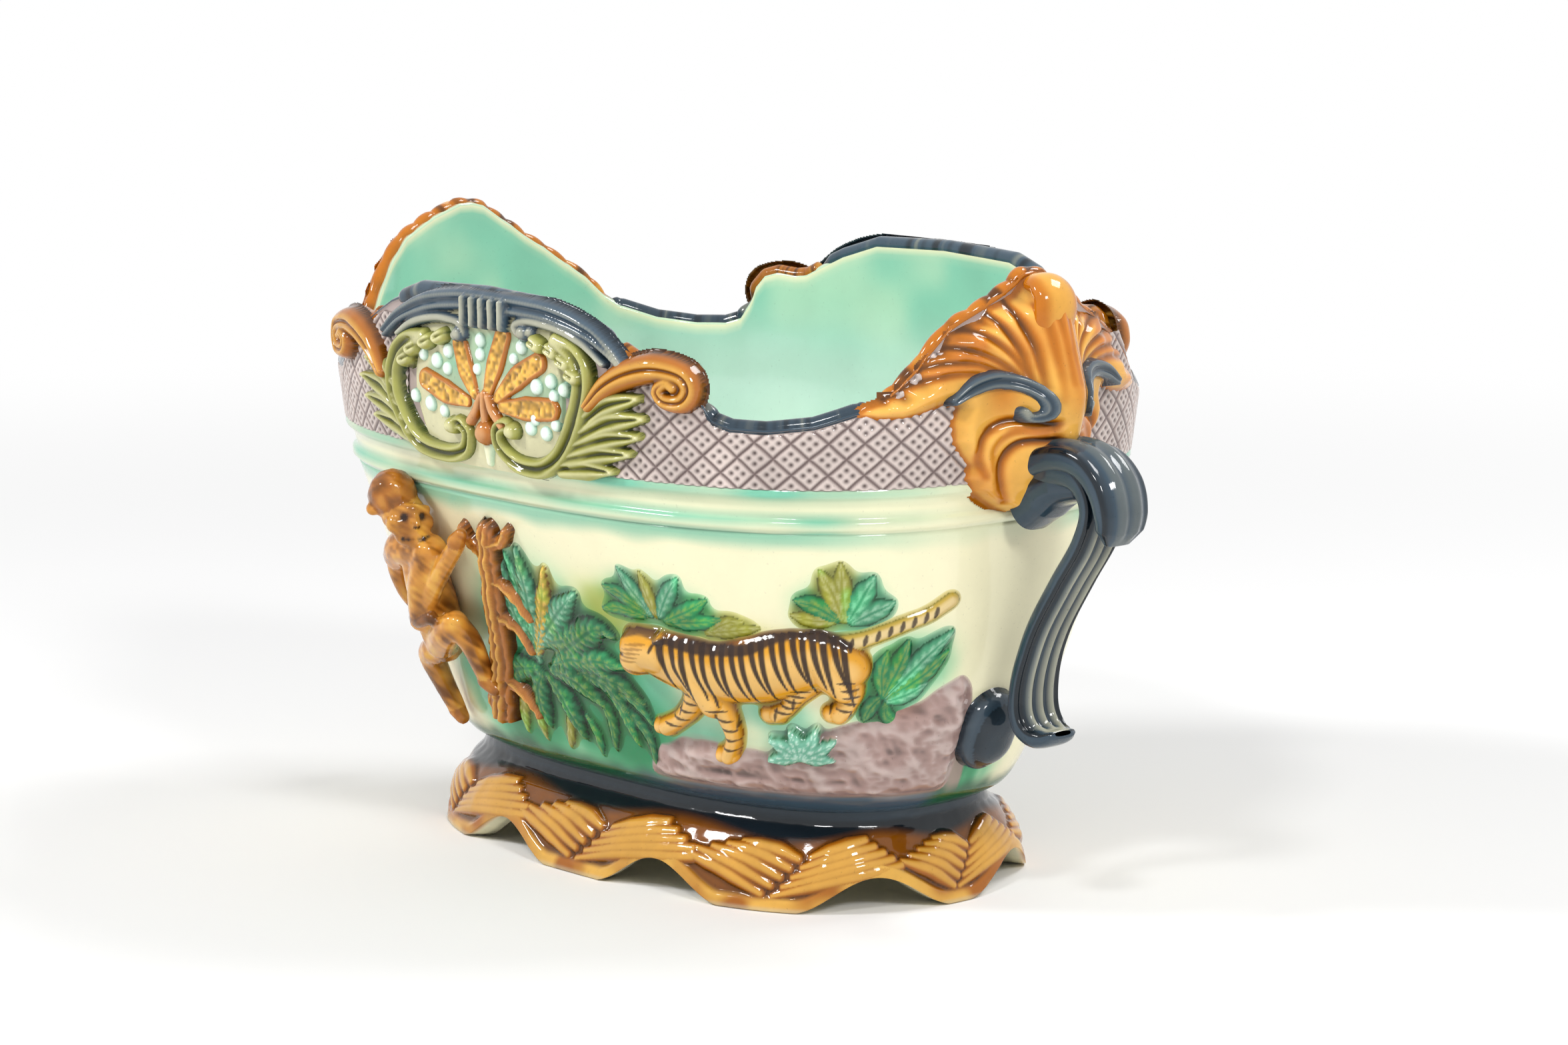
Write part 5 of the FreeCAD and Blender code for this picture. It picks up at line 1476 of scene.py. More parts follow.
        # Brown set: dark at the edges, painted shade with pooled glaze, and pale honey on the crests,
        # painted highlight.
        brown = (glaze("brown") * 0.3, glaze("honey") * 0.75, blend(honey=0.8, cream=0.25))
        relief = Relief(wall, bearings=(-106.0, -72.0), levels=(162.0, 220.0),
                        step=size("fine_step"), middle=self.wall_middle)
        pits = grain(relief.u, relief.v, size=1.5, seed=77)
        half_width = self.lobe_half
        widths = self.lobe_width_shares
        for path in PALMETTE_LOBES:
            relief.stroke(path, half_width, rise=3.6, glaze=brown, widths=widths, power=0.35)
            rows, columns, across, _, _ = relief.measure(path, half_width, widths)
            inner = ease(0.72, 0.5, across)
            relief.height[rows, columns] -= inner * (0.7 + 1.2 * pits[rows, columns])
            # The pits darken as they sink deeper: painted shade in them, partly glaze pooled there.
            tone = (0.35 + 0.9 * (1 - pits[rows, columns]))[:, None] * glaze("gold")
            relief.paint[rows, columns] = mixed(relief.paint[rows, columns], tone, inner)
        for path in self.stems:
            relief.stroke(path, half_width=2.6, rise=4.4, glaze=brown, widths=(1.0, 1.0, 0.7))
        relief.stroke(self.knob, half_width=5.2, rise=7.0, glaze=brown)
        # Pendant set: dark turquoise at its edges, painted shade, and cream on its crest, painted highlight.
        pale = (glaze("turquoise") * 0.6, blend(turquoise=0.5, cream=0.5), glaze("cream"))
        relief.stroke(self.pendant, half_width=4.0, rise=3.4, glaze=pale, widths=(1.0, 0.5))
        return relief.mesh("palmette", soften=1, pool=0.7, shine=0.5)

    def pearls(self):
        """Small beads strewn over the field."""
        # Each bead is dark turquoise at its foot, painted shade with pooled glaze, and near white on top, a
        # painted highlight.
        pearl = (glaze("turquoise") * 0.7, glaze("pearl"), np.array((0.95, 0.98, 0.94)))
        beads = Relief(wall, bearings=(-106.0, -70.0), levels=(174.0, 218.0),
                       step=size("fine_step") * self.pearl_step_share, middle=self.wall_middle)
        for bearing, height, radius in PEARLS:
            path = [(bearing, height), (bearing + 0.05, height)]
            beads.stroke(path, half_width=radius * 1.3, rise=radius * 0.9, glaze=pearl, lift=1.0)
        return beads.mesh("pearls", soften=1, pool=0.3)

    def execute(self, context):
        frame_mesh = self.framed_field()
        add_pair("cartouche_frame_%s", frame_mesh, shared_material("slate_glaze"))
        green = shared_material("moss_glaze", mottle=0.2)
        right = self.acanthus(1, (-88.0, -58.0), SCROLL_RIGHT, TOP_LOBES_RIGHT, TAILS_RIGHT)
        add_pair("acanthus_%s", right, green, ("front_right", "back_left"))
        left = self.acanthus(-1, (-120.0, -90.0), SCROLL_LEFT, TOP_LOBES_LEFT, TAILS_LEFT)
        add_pair("acanthus_%s", left, green, ("front_left", "back_right"))
        add_pair("palmette_%s", self.palmette(), shared_material("honey_glaze"))
        pearl = shared_material("pearl_glaze", mottle=0.06)
        add_pair("pearls_%s", self.pearls(), pearl)
        return {"FINISHED"}


VOLUTE = (
    (-69.4, 193), (-66.8, 201), (-63.4, 206.6), (-59.6, 209.2), (-56, 207.6), (-54.8, 202.8),
    (-55.8, 198), (-58, 197.8), (-59, 201.4), (-57.8, 204.4), (-56.9, 203))


class PLANTER_OT_rim(Operator):
    """Make the volutes beside the frames and the beads along the low parts of the rim"""
    bl_idname = "planter.rim"
    bl_label = "Rim"

    roll_radius = 3.3
    # Sides as in the front view: direction, names, and bearings of the volute, its roll and the bead
    sides = (
        (1, ("front_right", "back_left"), (-72, -50), (-66, -54.2), (-54.4, -30.2)),
        (-1, ("front_left", "back_right"), (-130, -108), (-125.8, -114), (-149.8, -125.6)))

    def execute(self, context):
        # Honey set of the volutes: a dark tone, painted shade with pooled glaze, and a gold tone, painted
        # highlight with thinner glaze; along the rolls and beads the tones vary at random.
        honey = (glaze("honey") * 0.18, glaze("honey") * 0.72, glaze("gold") * 0.8)
        slate = (glaze("slate") * 0.35, glaze("slate") * 0.8, blend(slate=0.5, cream=0.35))
        for side, names, bearings, roll_bearings, bead_bearings in self.sides:
            path = [(-90.0 + (90.0 + b) * side, z) for b, z in VOLUTE]
            relief = Relief(wall, bearings, levels=(186.0, 218.0), step=size("fine_step"), middle=202.0)
            relief.stroke(path, half_width=5.2, rise=6.6, glaze=honey,
                          widths=(0.5, 0.9, 1.1, 1.15, 1.0, 0.9, 0.7, 0.55), groove=0.3, groove_width=0.14)
            relief.rough(size=4.0, depth=0.3, seed=81)
            roll = rim_roll(roll_bearings, self.roll_radius, honey)
            mesh = joined_mesh("volute", [relief.shape(soften=1, pool=1.2, shine=0.45), roll])
            add_pair("volute_%s", mesh, shared_material("honey_glaze"), names)
            mesh = joined_mesh("rim_bead", [rim_roll(bead_bearings, self.roll_radius, slate)])
            add_pair("rim_bead_%s", mesh, shared_material("slate_glaze"), names)
        return {"FINISHED"}


class PLANTER_OT_tigers(Operator):
    """Make the striding tigers with their stripes"""
    bl_idname = "planter.tigers"
    bl_label = "Tigers"

    flat_share = 0.78
    body = (
        (-68, 98), (-63, 95.2), (-57, 92.6), (-51, 94.8), (-46, 98.2), (-42, 100.6), (-38, 100.6),
        (-35.2, 99))
    legs = (
        (((-61, 88), (-61.8, 79.5), (-64.6, 72), (-67.8, 67.2)), 5.2, 6.2),
        (((-57.4, 84), (-56, 75), (-55.4, 67), (-56.4, 59.6)), 5.4, 7.4),
        (((-36, 98), (-34.6, 90), (-35.6, 84), (-37.2, 80.2)), 5.6, 6.6),
        (((-42, 92), (-44.4, 86), (-46, 81), (-48, 78)), 4.6, 4.4))
    tail = ((-37.0, 107.0), (-33.2, 108.6), (-28.5, 111.8), (-23.6, 115.2), (-19.6, 117.7), (-14.8, 122.6))
    back = (
        (-64.4, 105.4), (-57, 103.6), (-50.8, 105.4), (-46.5, 110.4), (-42.4, 112.6), (-38.4, 111.4),
        (-34.6, 108))
    # Body, shoulder, haunch, head, muzzle and ear: path, half width, rise, width shares, power and groove
    masses = (
        (body, 12.6, 9, (0.72, 0.9, 0.98, 0.92, 1.02, 1.02, 0.9, 0.7), 0.55, 0),
        (((-61.5, 96), (-59.5, 88), (-58, 82)), 8, 9.8, (1, 1), 0.6, 0),
        (((-40, 104), (-38, 97), (-36, 91)), 9, 10, (1, 1, 0.7), 0.6, 0),
        (((-65.6, 98.8), (-69, 99)), 9.2, 10.8, (1, 0.95), 0.5, 0),
        (((-69, 96), (-69.9, 95.4)), 7.2, 11.2, (1, 1), 0.5, 0),
        (((-64.8, 103.6), (-64.4, 105.4)), 2.4, 10.4, (1, 1), 0.5, 0.6))
    ear_groove_share = 0.5
    stripe_bearings = (-64.0, -35.6)
    stripe_count = 19
    stripe_drops = (22.0, 17.0, 24.0, 19.0)
    stripe_bends = (0.9, 1.2, 0.8, 1.1)
    stripe_shares = ((0.0, 0.0), (0.6, 0.5), (1.6, 1.0))
    ear_and_eye = (((-64.8, 104.6), (-65.4, 102.2)), ((-70.2, 99.8), (-71.2, 99.0)))
    contour = ((-72.6, 94.0), (-72.8, 99.0), (-71.4, 104.6), (-68.0, 107.6), (-64.6, 107.0))

    def stripes(self, relief):
        """Paint the stripes of the back, the legs and the tail."""
        dark = glaze("stripe")
        relief.tint(self.back, 2.6, dark, widths=(0.4, 1.0, 0.8, 1.0, 0.9, 0.6), strength=0.95)
        for index, start in enumerate(np.linspace(*self.stripe_bearings, self.stripe_count)):
            high = np.interp(start, *zip(*self.back))
            drop = self.stripe_drops[index % 4]
            bend = self.stripe_bends[index % 4]
            path = [(start + bend * turn, high - drop * fall) for turn, fall in self.stripe_shares]
            relief.tint(path, 1.3, dark, widths=(1.3, 1.1, 0.8, 0.35), strength=0.97, sink=0.25)
            if index % 2 == 0:
                low = high - drop - 3.0
                path = [(start + 0.7, low), (start + 0.2, low - 5.0)]
                relief.tint(path, 0.95, dark, widths=(0.5, 1.0, 0.4), strength=0.85, sink=0.2)
        for path, _, _ in self.legs:
            for bearing, height in curve_through(path, 7)[1:6]:
                mark = [(bearing - 1.5, height + 0.6), (bearing + 1.3, height - 0.4)]
                relief.tint(mark, 0.85, dark, widths=(0.4, 1.0, 0.5), strength=0.9, sink=0.2)
        for bearing, height in curve_through(self.tail, 11)[1:9]:
            mark = [(bearing, height - 1.6), (bearing + 0.5, height + 1.8)]
            relief.tint(mark, 1.2, dark, widths=(0.6, 1.0, 0.6), strength=0.9, sink=0.15)

    def face(self, relief):
        """Paint the ear, the eye, the fur and the dark line around the head."""
        dark = glaze("stripe")
        fur = glaze("honey") * 0.35
        for path in self.ear_and_eye:
            relief.tint(path, 0.95, dark, widths=(0.7, 1.0, 0.7), strength=0.92, sink=0.3)
        for strand in range(8):
            path = [(-71.2 + 0.8 * strand, 95.0 - 0.6 * strand), (-68.8 + 0.7 * strand, 91.0 - 0.4 * strand)]
            relief.tint(path, 0.7, fur, widths=(0.5, 1.0, 0.4), strength=0.7, sink=0.3)
        for strand in range(5):
            path = [(-71.6 + 0.5 * strand, 97.4 + 1.5 * strand), (-68.0 + 0.5 * strand, 97.6 + 1.7 * strand)]
            relief.tint(path, 0.7, fur, widths=(0.4, 1.0, 0.4), strength=0.55, sink=0.35)
        relief.tint(self.contour, 1.6, dark, widths=(0.5, 0.8, 1.0, 1.0), strength=0.75, sink=0.2)

    def execute(self, context):
        # Amber and tail sets: a dark tone at the edges, painted shade with pooled glaze, and a pale tone on
        # the crests, painted highlight with thinner glaze.
        amber = (glaze("honey") * 0.4, glaze("amber"), blend(gold=0.75, cream=0.2))
        pale = (glaze("moss") * 0.45, blend(moss=0.45, gold=0.45), blend(cream=0.5, gold=0.4))
        relief = Relief(wall, bearings=(-76.0, -12.0), levels=(54.0, 128.0),
                        step=size("fine_step"), middle=96.0)
        relief.stroke(self.tail, half_width=3.2, rise=2.6, glaze=pale, widths=(1.2, 1.0, 0.95, 0.9, 1.0))
        for path, half_width, rise in self.legs[::-1]:
            relief.stroke(path, half_width, rise, amber, widths=(1.25, 0.95, 0.72, 0.8), power=0.55)
            bearing, height = path[-1]
            paw = [(bearing + 0.6, height), (bearing - 1.4, height - 0.4)]
            relief.stroke(paw, half_width=3.6, rise=rise * 0.8, glaze=amber)
        for path, half_width, rise, widths, power, groove in self.masses:
            relief.stroke(path, half_width, rise, amber, widths, power=power, groove=groove,
                          groove_width=self.ear_groove_share)
        relief.rough(size=6.0, depth=0.5, seed=91)
        self.stripes(relief)
        self.face(relief)
        relief.height = np.where(relief.height > 0, relief.height * self.flat_share, relief.height)
        relief.melt(reach=3.0, strength=0.75, skin=0.26)
        mesh = relief.mesh("tiger", soften=3, pool=0.4, shine=0.35)
        add_pair("tiger_%s", mesh, shared_material("amber_glaze", mottle=0.14))
        return {"FINISHED"}


class PLANTER_OT_monkeys(Operator):
    """Make the monkeys and the stumps that they climb"""
    bl_idname = "planter.monkeys"
    bl_label = "Monkeys and stumps"

    trunk = ((-93.6, 137.5), (-95.8, 122), (-98.4, 103), (-101.4, 85), (-104.6, 70), (-107.4, 58))
    tubes = (
        ("brown", (
            (-106.6, 122, 9, 8.2), (-108.6, 108.3, 9, 9.6), (-111.4, 93.5, 8, 9), (-112.6, 85, 7, 8))),
        ("brown", ((-104.4, 130, 10, 7), (-105.4, 124, 9, 8))),
        ("brown", ((-102, 128, 10, 7.5), (-107.6, 128, 11, 7.5), (-111.6, 123, 10, 6.8))),
        ("brown", ((-101.4, 129, 12, 5.6), (-106.6, 114, 15, 5.2), (-111, 100, 15, 4.8))),
        ("brown", ((-111, 100, 15, 4.8), (-103.4, 116, 13, 4.2), (-94.5, 133, 9, 3.6))),
        ("cap", ((-94.1, 134.5, 9, 3.8), (-92.8, 137.6, 8, 2.6))),
        ("brown", (
            (-110, 124, 9, 5.4), (-114, 118, 10, 4.8), (-116.2, 107, 9, 4.4), (-116.8, 98.6, 7, 3.8))),
        ("cap", ((-116.8, 96, 6, 4), (-116, 92.4, 5, 2.8))),
        ("brown", ((-111, 88, 10, 7), (-106.6, 96, 13, 6.4), (-103, 101, 13, 5.6))),
        ("brown", ((-103, 101, 13, 5.4), (-102.8, 91.5, 10, 4.8), (-103.4, 76, 7, 3.8))),
        ("cap", ((-103.6, 73.5, 7, 4), (-102.2, 70, 7, 3))),
        ("brown", (
            (-114, 83, 9, 6.6), (-117, 78.6, 9, 5.6), (-119.4, 66.5, 7, 4.6), (-121.2, 54, 5, 3.8))),
        ("cap", ((-121.4, 52.5, 5, 3.8), (-120.4, 49.5, 5, 3))),
        ("belt", ((-106.4, 103.5, 16.6, 2.6), (-110, 101, 17.4, 2.6), (-113.6, 99.5, 14, 2.6))))
    twigs = (
        ((-96.4, 118), (-92.6, 112), (-90.6, 103)), ((-98.4, 104), (-95, 97), (-93.6, 88)),
        ((-94.4, 132), (-91.2, 134), (-89.2, 139)), ((-95, 126), (-98.6, 131), (-99.4, 137)),
        ((-103.6, 75), (-99.6, 68), (-97.6, 60)), ((-105, 70), (-109.2, 64), (-110.6, 56)))
    lean_levels = (50.0, 80.0, 95.0, 115.0, 135.0, 150.0)
    lean_turns = (-2.5, -2.5, -0.8, -2.0, -4.2, -4.2)
    head_place = (-55.4, -119.6, 141.0)
    head_turn = -20.0
    head = (
        ("cap", ((-1, -2.8, 5.5, 9.8), (-4, -2.4, 4, 9.6))),
        ("face", ((3, 2.4, -4.4, 8.3), (0.5, 0.5, -2, 8.8))),
        ("face", ((6.6, 0.8, -9, 5.8), (7, 4.2, -8.8, 5.4))),
        ("face", ((10.6, 2.2, -1.6, 1.6), (12, 2.4, -5.4, 2.1))),
        ("face", ((5.8, -4.4, -0.4, 2), (9.4, 1.2, 0.6, 2.1), (8.2, 7.6, -0.2, 2))),
        ("face", ((6.2, -3.8, -5.4, 4.2),)),
        ("face", ((6.8, 7.4, -5.4, 3.9),)),
        ("brown", ((-2.5, -10.4, -0.5, 2.9),)))
    marks = (
        (9.8, -1.7, -2.5, 1.3), (10.4, 5.3, -2.5, 1.3), (13.6, 1.6, -6.3, 0.7), (13.6, 3.3, -6.3, 0.7),
        (10.9, -2.6, -11, 0.9), (12.2, -0.8, -11.2, 0.9), (12.8, 1.2, -11.2, 0.9),
        (12.9, 3.4, -11.1, 0.9), (12.4, 5.4, -11, 0.9), (11.4, 7.2, -10.7, 0.9))

    def head_site(self, forward, right, up):
        """Point of the head, which looks out of the wall and to the right."""
        turn = math.radians(self.head_turn)
        ahead = np.array((math.cos(turn), math.sin(turn), 0.0))
        beside = np.array((-math.sin(turn), math.cos(turn), 0.0))
        return np.array(self.head_place) + ahead * forward + beside * right + np.array((0.0, 0.0, up))

    def lean(self, place):
        """Place of the figure moved over by its lean to the left."""
        bearing, height, lift, radius = place
        return bearing + np.interp(height, self.lean_levels, self.lean_turns), height, lift, radius

    def execute(self, context):
        brown = (glaze("brown") * 0.45, blend(brown=0.9, gold=0.25), glaze("gold") * 0.95)
        cap = (glaze("brown") * 0.4, glaze("brown") * 0.9, blend(brown=0.8, gold=0.3))
        face = (glaze("brown") * 0.55, blend(brown=0.8, gold=0.3), glaze("gold"))
        belt = (glaze("brown") * 0.25, glaze("brown") * 0.6, glaze("brown"))
        glazes = {"brown": brown, "cap": cap, "face": face, "belt": belt}
        tubes = [wall_tube([self.lean(place) for place in places]) for _, places in self.tubes]
        names = [name for name, _ in self.tubes + self.head]
        for _, balls in self.head:
            tubes.append([tuple(self.head_site(*ball[:3])) + (ball[3],) for ball in balls])
        mesh, places, paint = clay("monkey", tubes, size("clay_voxel"), [glazes[name] for name in names])
        for forward, right, up, radius in self.marks:
            site = self.head_site(forward, right, up)
            cover = ease(radius * 1.7, radius * 0.8, np.linalg.norm(places - site, axis=1))
            paint = mixed(paint, glaze("stripe"), cover)
        mesh.color_attributes.remove(mesh.color_attributes["paint"])
        set_paint(mesh, paint)
        material = shared_material("brown_glaze", mottle=0.28)
        add_pair("monkey_%s", mesh, material)
        stump = Relief(wall, bearings=(-112.0, -88.0), levels=(54.0, 142.0),
                       step=size("relief_step"), middle=100.0)
        # Bark from a dark tone in its flutes and at its edges, painted shade with pooled glaze, to gold on
        # its crests, painted highlight.
        bark = (glaze("brown") * 0.2, glaze("brown") * 0.95, glaze("gold") * 0.85)
        stump.stroke(self.trunk, half_width=6.2, rise=7.6, glaze=bark,
                     widths=(0.75, 0.85, 0.95, 1.0, 1.1, 1.2), flutes=4, flute_depth=0.28)
        for path in self.twigs:
            stump.stroke(path, half_width=3.3, rise=5.4, glaze=bark, widths=(1.1, 0.9, 0.6), flutes=3,
                         flute_depth=0.25)
        stump.rough(size=2.6, depth=2.0, seed=95)
        mesh = stump.mesh("stump", soften=1, pool=0.7, shine=0.4)
        add_pair("stump_%s", mesh, material)
        return {"FINISHED"}


# Plants of the relief: glaze, half width, rise and path of each leaf
FERNS = (
    ("teal", 6.4, 3.6, ((-93.5, 84), (-94.4, 103.1), (-94, 124))),
    ("teal", 6.4, 4.4, ((-92.9, 87), (-89.9, 110.4), (-89.2, 131))),
    ("teal", 5.4, 3.4, ((-93, 90), (-91.6, 112), (-92.2, 128))),
    ("gold", 5, 4.6, ((-92.9, 87), (-87.6, 106), (-84.2, 125.2))),
    ("teal", 6.6, 4.8, ((-92.2, 90.1), (-85.7, 103.7), (-79.4, 116.6))),
    ("leaf", 6, 4.2, ((-91, 92), (-84, 97), (-78.4, 105))),
    ("dark", 7, 5.6, ((-88, 88.5), (-81.5, 97.5), (-76.6, 104), (-73.8, 102))),
    ("dark", 6.4, 5, ((-94.2, 80.9), (-100.2, 77.5), (-106.4, 66))),
    ("dark", 6, 5, ((-93.6, 79), (-96, 70), (-96.4, 56))),
    ("dark", 6.6, 5.4, ((-92.6, 78), (-89.6, 69), (-87.6, 54.6))),
    ("dark", 6.6, 5.6, ((-91.1, 80.9), (-85.6, 80), (-80.4, 71))),
    ("leaf", 5.6, 5.2, ((-89.6, 84.4), (-83.3, 89), (-77.4, 84.6))),
    ("leaf", 5.4, 5.2, ((-84, 86), (-79, 90.5), (-73.8, 89))),
    ("dark", 5, 4.6, ((-84.4, 84), (-78.6, 80), (-75.4, 70))),
    ("dark", 4.6, 4.4, ((-82, 84), (-76, 82), (-71.6, 75))),
    ("leaf", 4, 3.8, ((-80.2, 79), (-76.9, 71.5), (-74.7, 56.4))),
    ("leaf", 3.6, 3.4, ((-79, 80), (-74, 76), (-70.8, 66))),
    ("dark", 3.8, 3.4, ((-82, 76), (-80, 66), (-80.6, 52))),
    ("moss", 3.6, 3, ((-100.6, 68), (-103, 58), (-104, 50))),
    ("moss", 3.4, 2.8, ((-98, 66), (-99, 56), (-99, 49))),
    ("dark", 3.4, 3, ((-77.4, 74), (-72.6, 62), (-71.6, 49))),
    ("leaf", 3, 3, ((-86, 64), (-84.4, 56), (-84.4, 48))),
    ("moss", 3, 2.8, ((-91, 62), (-91.6, 55), (-93, 48))))
PALMS = (
    ("leaf", 3.8, 2.6, ((-66, 113), (-69.4, 119.6), (-73, 122.4))),
    ("teal", 3.8, 2.6, ((-65.6, 113), (-67.6, 123), (-69.4, 130.6))),
    ("moss", 3.4, 2.4, ((-64.8, 113), (-65.2, 122), (-65.8, 130))),
    ("teal", 4, 2.8, ((-64.2, 113), (-62, 122), (-59.9, 129.3))),
    ("leaf", 3.8, 2.6, ((-63.4, 111.6), (-59.2, 117), (-56, 122))),
    ("leaf", 3.6, 2.2, ((-63.2, 111), (-58.4, 112.6), (-54.4, 114.6))),
    ("moss", 3.2, 1.6, ((-57, 108.6), (-53, 110.6), (-48.6, 112.6))),
    ("moss", 3, 1.5, ((-56.4, 109.6), (-53.4, 113.6), (-51, 114.6))),
    ("leaf", 3.2, 2, ((-66.8, 112), (-71, 114), (-74.4, 112.6))))
BUSHES = (
    ("moss", 4.4, 3, ((-35.4, 117), (-36.6, 127), (-38.3, 136))),
    ("moss", 4, 2.6, ((-35, 117), (-35.2, 128), (-35.1, 138.6))),
    ("teal", 4.6, 3, ((-34.4, 117), (-32, 126), (-30, 133.4))),
    ("teal", 4.4, 2.8, ((-33.8, 116), (-30.4, 120), (-26.6, 123.4))),
    ("leaf", 4.4, 3, ((-36.2, 117), (-39, 122), (-42.4, 124.6))),
    ("moss", 3.4, 2.2, ((-36.6, 116.4), (-40, 117), (-43.4, 118.6))),
    ("leaf", 4.4, 3.4, ((-28.7, 86.6), (-26, 97), (-23.6, 107.8))),
    ("teal", 4.6, 3.4, ((-28.2, 86.6), (-21, 100), (-14, 110.4))),
    ("leaf", 4.4, 3.4, ((-27.8, 86), (-20.6, 94.4), (-14.8, 102.6))),
    ("teal", 4, 3.2, ((-28, 84.6), (-23.6, 87.4), (-19.6, 90.6))),
    ("leaf", 3.8, 3, ((-29, 87), (-29, 96), (-27.8, 104))),
    ("dark", 3.6, 3, ((-29.4, 86), (-31.4, 82), (-32.6, 77))),
    ("dark", 3.4, 2.8, ((-28.4, 84), (-28, 79), (-25.6, 75.6))))
SMALL_PLANT = (
    ("pale", 3.8, 3.4, ((-44, 63), (-46.4, 66), (-49, 68.6))),
    ("pale", 3.6, 3.6, ((-43.8, 63), (-44.4, 68), (-45.6, 72.6))),
    ("pale", 3.6, 3.6, ((-43.4, 63), (-42, 68.4), (-41.2, 73.4))),
    ("pale", 3.6, 3.4, ((-43.2, 62.8), (-40.4, 66), (-38, 69.4))),
    ("pale", 3.4, 3.2, ((-43.2, 62.4), (-40.4, 62.4), (-37.8, 61.8))),
    ("pale", 3.4, 3.2, ((-44, 62.4), (-46.8, 61.6), (-49.2, 60.2))))


def plant_tones(name):
    """Glazes of a leaf: a dark tone for its edges and veins, painted shade with pooled glaze, its body, and
    a pale tone for its crest, painted highlight with thinner glaze.
    """
    leaf = glaze("leaf")
    pale = glaze("cream")
    tones = {
        "leaf": (leaf * 0.22, leaf, leaf * 0.4 + glaze("moss") * 0.7),
        "teal": (leaf * 0.25, leaf * 0.7 + glaze("turquoise") * 0.22, glaze("turquoise") * 0.7 + pale * 0.2),
        "dark": (leaf * 0.12, leaf * 0.7, leaf * 0.5 + glaze("moss") * 0.5),
        "gold": (glaze("honey") * 0.25, blend(moss=0.8, honey=0.2), glaze("gold")),
        "pale": (leaf * 0.5, glaze("turquoise") * 0.75, glaze("pearl")),
        "moss": (glaze("moss") * 0.25, glaze("moss") * 0.8, glaze("moss") * 0.6 + pale * 0.3)}
    return tones[name]


class PLANTER_OT_plants(Operator):
    """Make the ferns, palms and bushes of the relief"""
    bl_idname = "planter.plants"
    bl_label = "Plants"

    vein_gap = 3.8
    # Name, leaves, bearings, levels, seed, share of the rise, reach and skin of the run glaze, vein depth
    groups = (
        ("fern_%s", FERNS, (-113, -64), (43, 139), 101, 0.75, 7, 0.10, 0.28),
        ("palm_%s", PALMS, (-79, -43), (102, 139), 102, 0.6, 6, 0.15, 0.14),
        ("bush_%s", BUSHES, (-48, -9), (69, 146), 103, 0.6, 6, 0.20, 0.14))

    def execute(self, context):
        material = shared_material("leaf_glaze", mottle=0.3)
        for name, leaves, bearings, levels, seed, rise_share, reach, skin, vein_depth in self.groups:
            relief = Relief(wall, bearings, levels, size("relief_step"))
            for kind, half_width, rise, path in leaves:
                length = run_lengths(relief.place(path))[-1]
                veins = max(3, int(length / self.vein_gap))
                relief.stroke(path, half_width, rise * rise_share, plant_tones(kind),
                              widths=(0.35, 1.0, 0.95, 0.25), rises=(0.6, 1.0, 0.8), power=0.6, groove=0.34,
                              groove_width=0.12, veins=veins, vein_depth=vein_depth)
            relief.rough(size=4.0, depth=0.7, seed=seed)
            run = grain(relief.u, relief.v * 0.7, size=8.0, seed=seed + 7)
            for wash, low, high in (("moss", 0.62, 0.9), ("turquoise", 0.36, 0.1)):
                washed = relief.paint * glaze(wash) / 0.3
                relief.paint = mixed(relief.paint, washed, 0.5 * ease(low, high, run))
            relief.melt(reach=reach, strength=0.85, skin=skin)
            mesh = relief.mesh("plant", soften=3, pool=1.7, shine=0.9, pool_passes=11)
            add_pair(name, mesh, material)
        return {"FINISHED"}


class PLANTER_OT_rocks(Operator):
    """Make the rock banks with the small plant that grows on them"""
    bl_idname = "planter.rocks"
    bl_label = "Rocks"

    top_wave = 4.0
    top_fade = (1.5, -5.0)
    foot_fade = (44.5, 49.0)
    left_fade = (-74.0, -69.0)
    right_fade = (-6.0, -11.0)
    # Size, depth and seed of the lumps, from large to small
    lump_sizes = ((13.0, 1.0, 112), (6.0, 0.8, 113), (3.0, 0.45, 114))
    base_rise = 0.4
    lump_rise = 1.7

    def execute(self, context):
        relief = Relief(wall, bearings=(-78.0, -2.0), levels=(42.0, 100.0),
                        step=size("relief_step"), middle=66.0)
        wave = grain(relief.u, relief.v, size=8.0, seed=111) - 0.5
        top = rock_top(relief.bearing) + self.top_wave * wave
        inside = ease(*self.top_fade, relief.v - top) * ease(*self.foot_fade, relief.v)
        inside = inside * ease(*self.left_fade, relief.bearing) * ease(*self.right_fade, relief.bearing)
        lumps = 0.0
        for lump, depth, seed in self.lump_sizes:
            wave = grain(relief.u + 0.6 * relief.v, relief.v * 1.5, lump, seed)
            lumps = lumps + depth * (1 - np.abs(2 * wave - 1))
        height = inside * (self.base_rise + self.lump_rise * lumps)
        relief.height = np.where(inside > 0.02, height, relief.under)
        # Darker between the lumps and paler on their tops, following their height: painted shade and painted
        # highlight; the warm cloud is uneven glaze.
        tone = np.clip(lumps / 1.9, 0, 1)
        cloud = grain(relief.u, relief.v, size=17.0, seed=115)
        ridge = blend(mauve=0.5, blush=0.5)
        paint = mixed(rock_glaze() * 0.5, rock_glaze(), ease(0.2, 0.6, tone))
        paint = mixed(paint, ridge, 0.8 * ease(0.6, 1.0, tone))
        warm = blend(honey=0.3, mauve=0.5)
        relief.paint = mixed(paint, warm, 0.55 * ease(0.55, 0.9, cloud))
        for kind, half_width, rise, path in SMALL_PLANT:
            relief.stroke(path, half_width, rise, plant_tones(kind), widths=(0.6, 1.0, 0.3), groove=0.35,
                          veins=4, vein_depth=0.2, lift=2.2)
        relief.melt(reach=4.0, strength=0.8, skin=0.06)
        mesh = relief.mesh("rocks", soften=2, pool=0.6, shine=0.4)
        add_pair("rocks_%s", mesh, shared_material("rock_glaze", mottle=0.25))
        return {"FINISHED"}


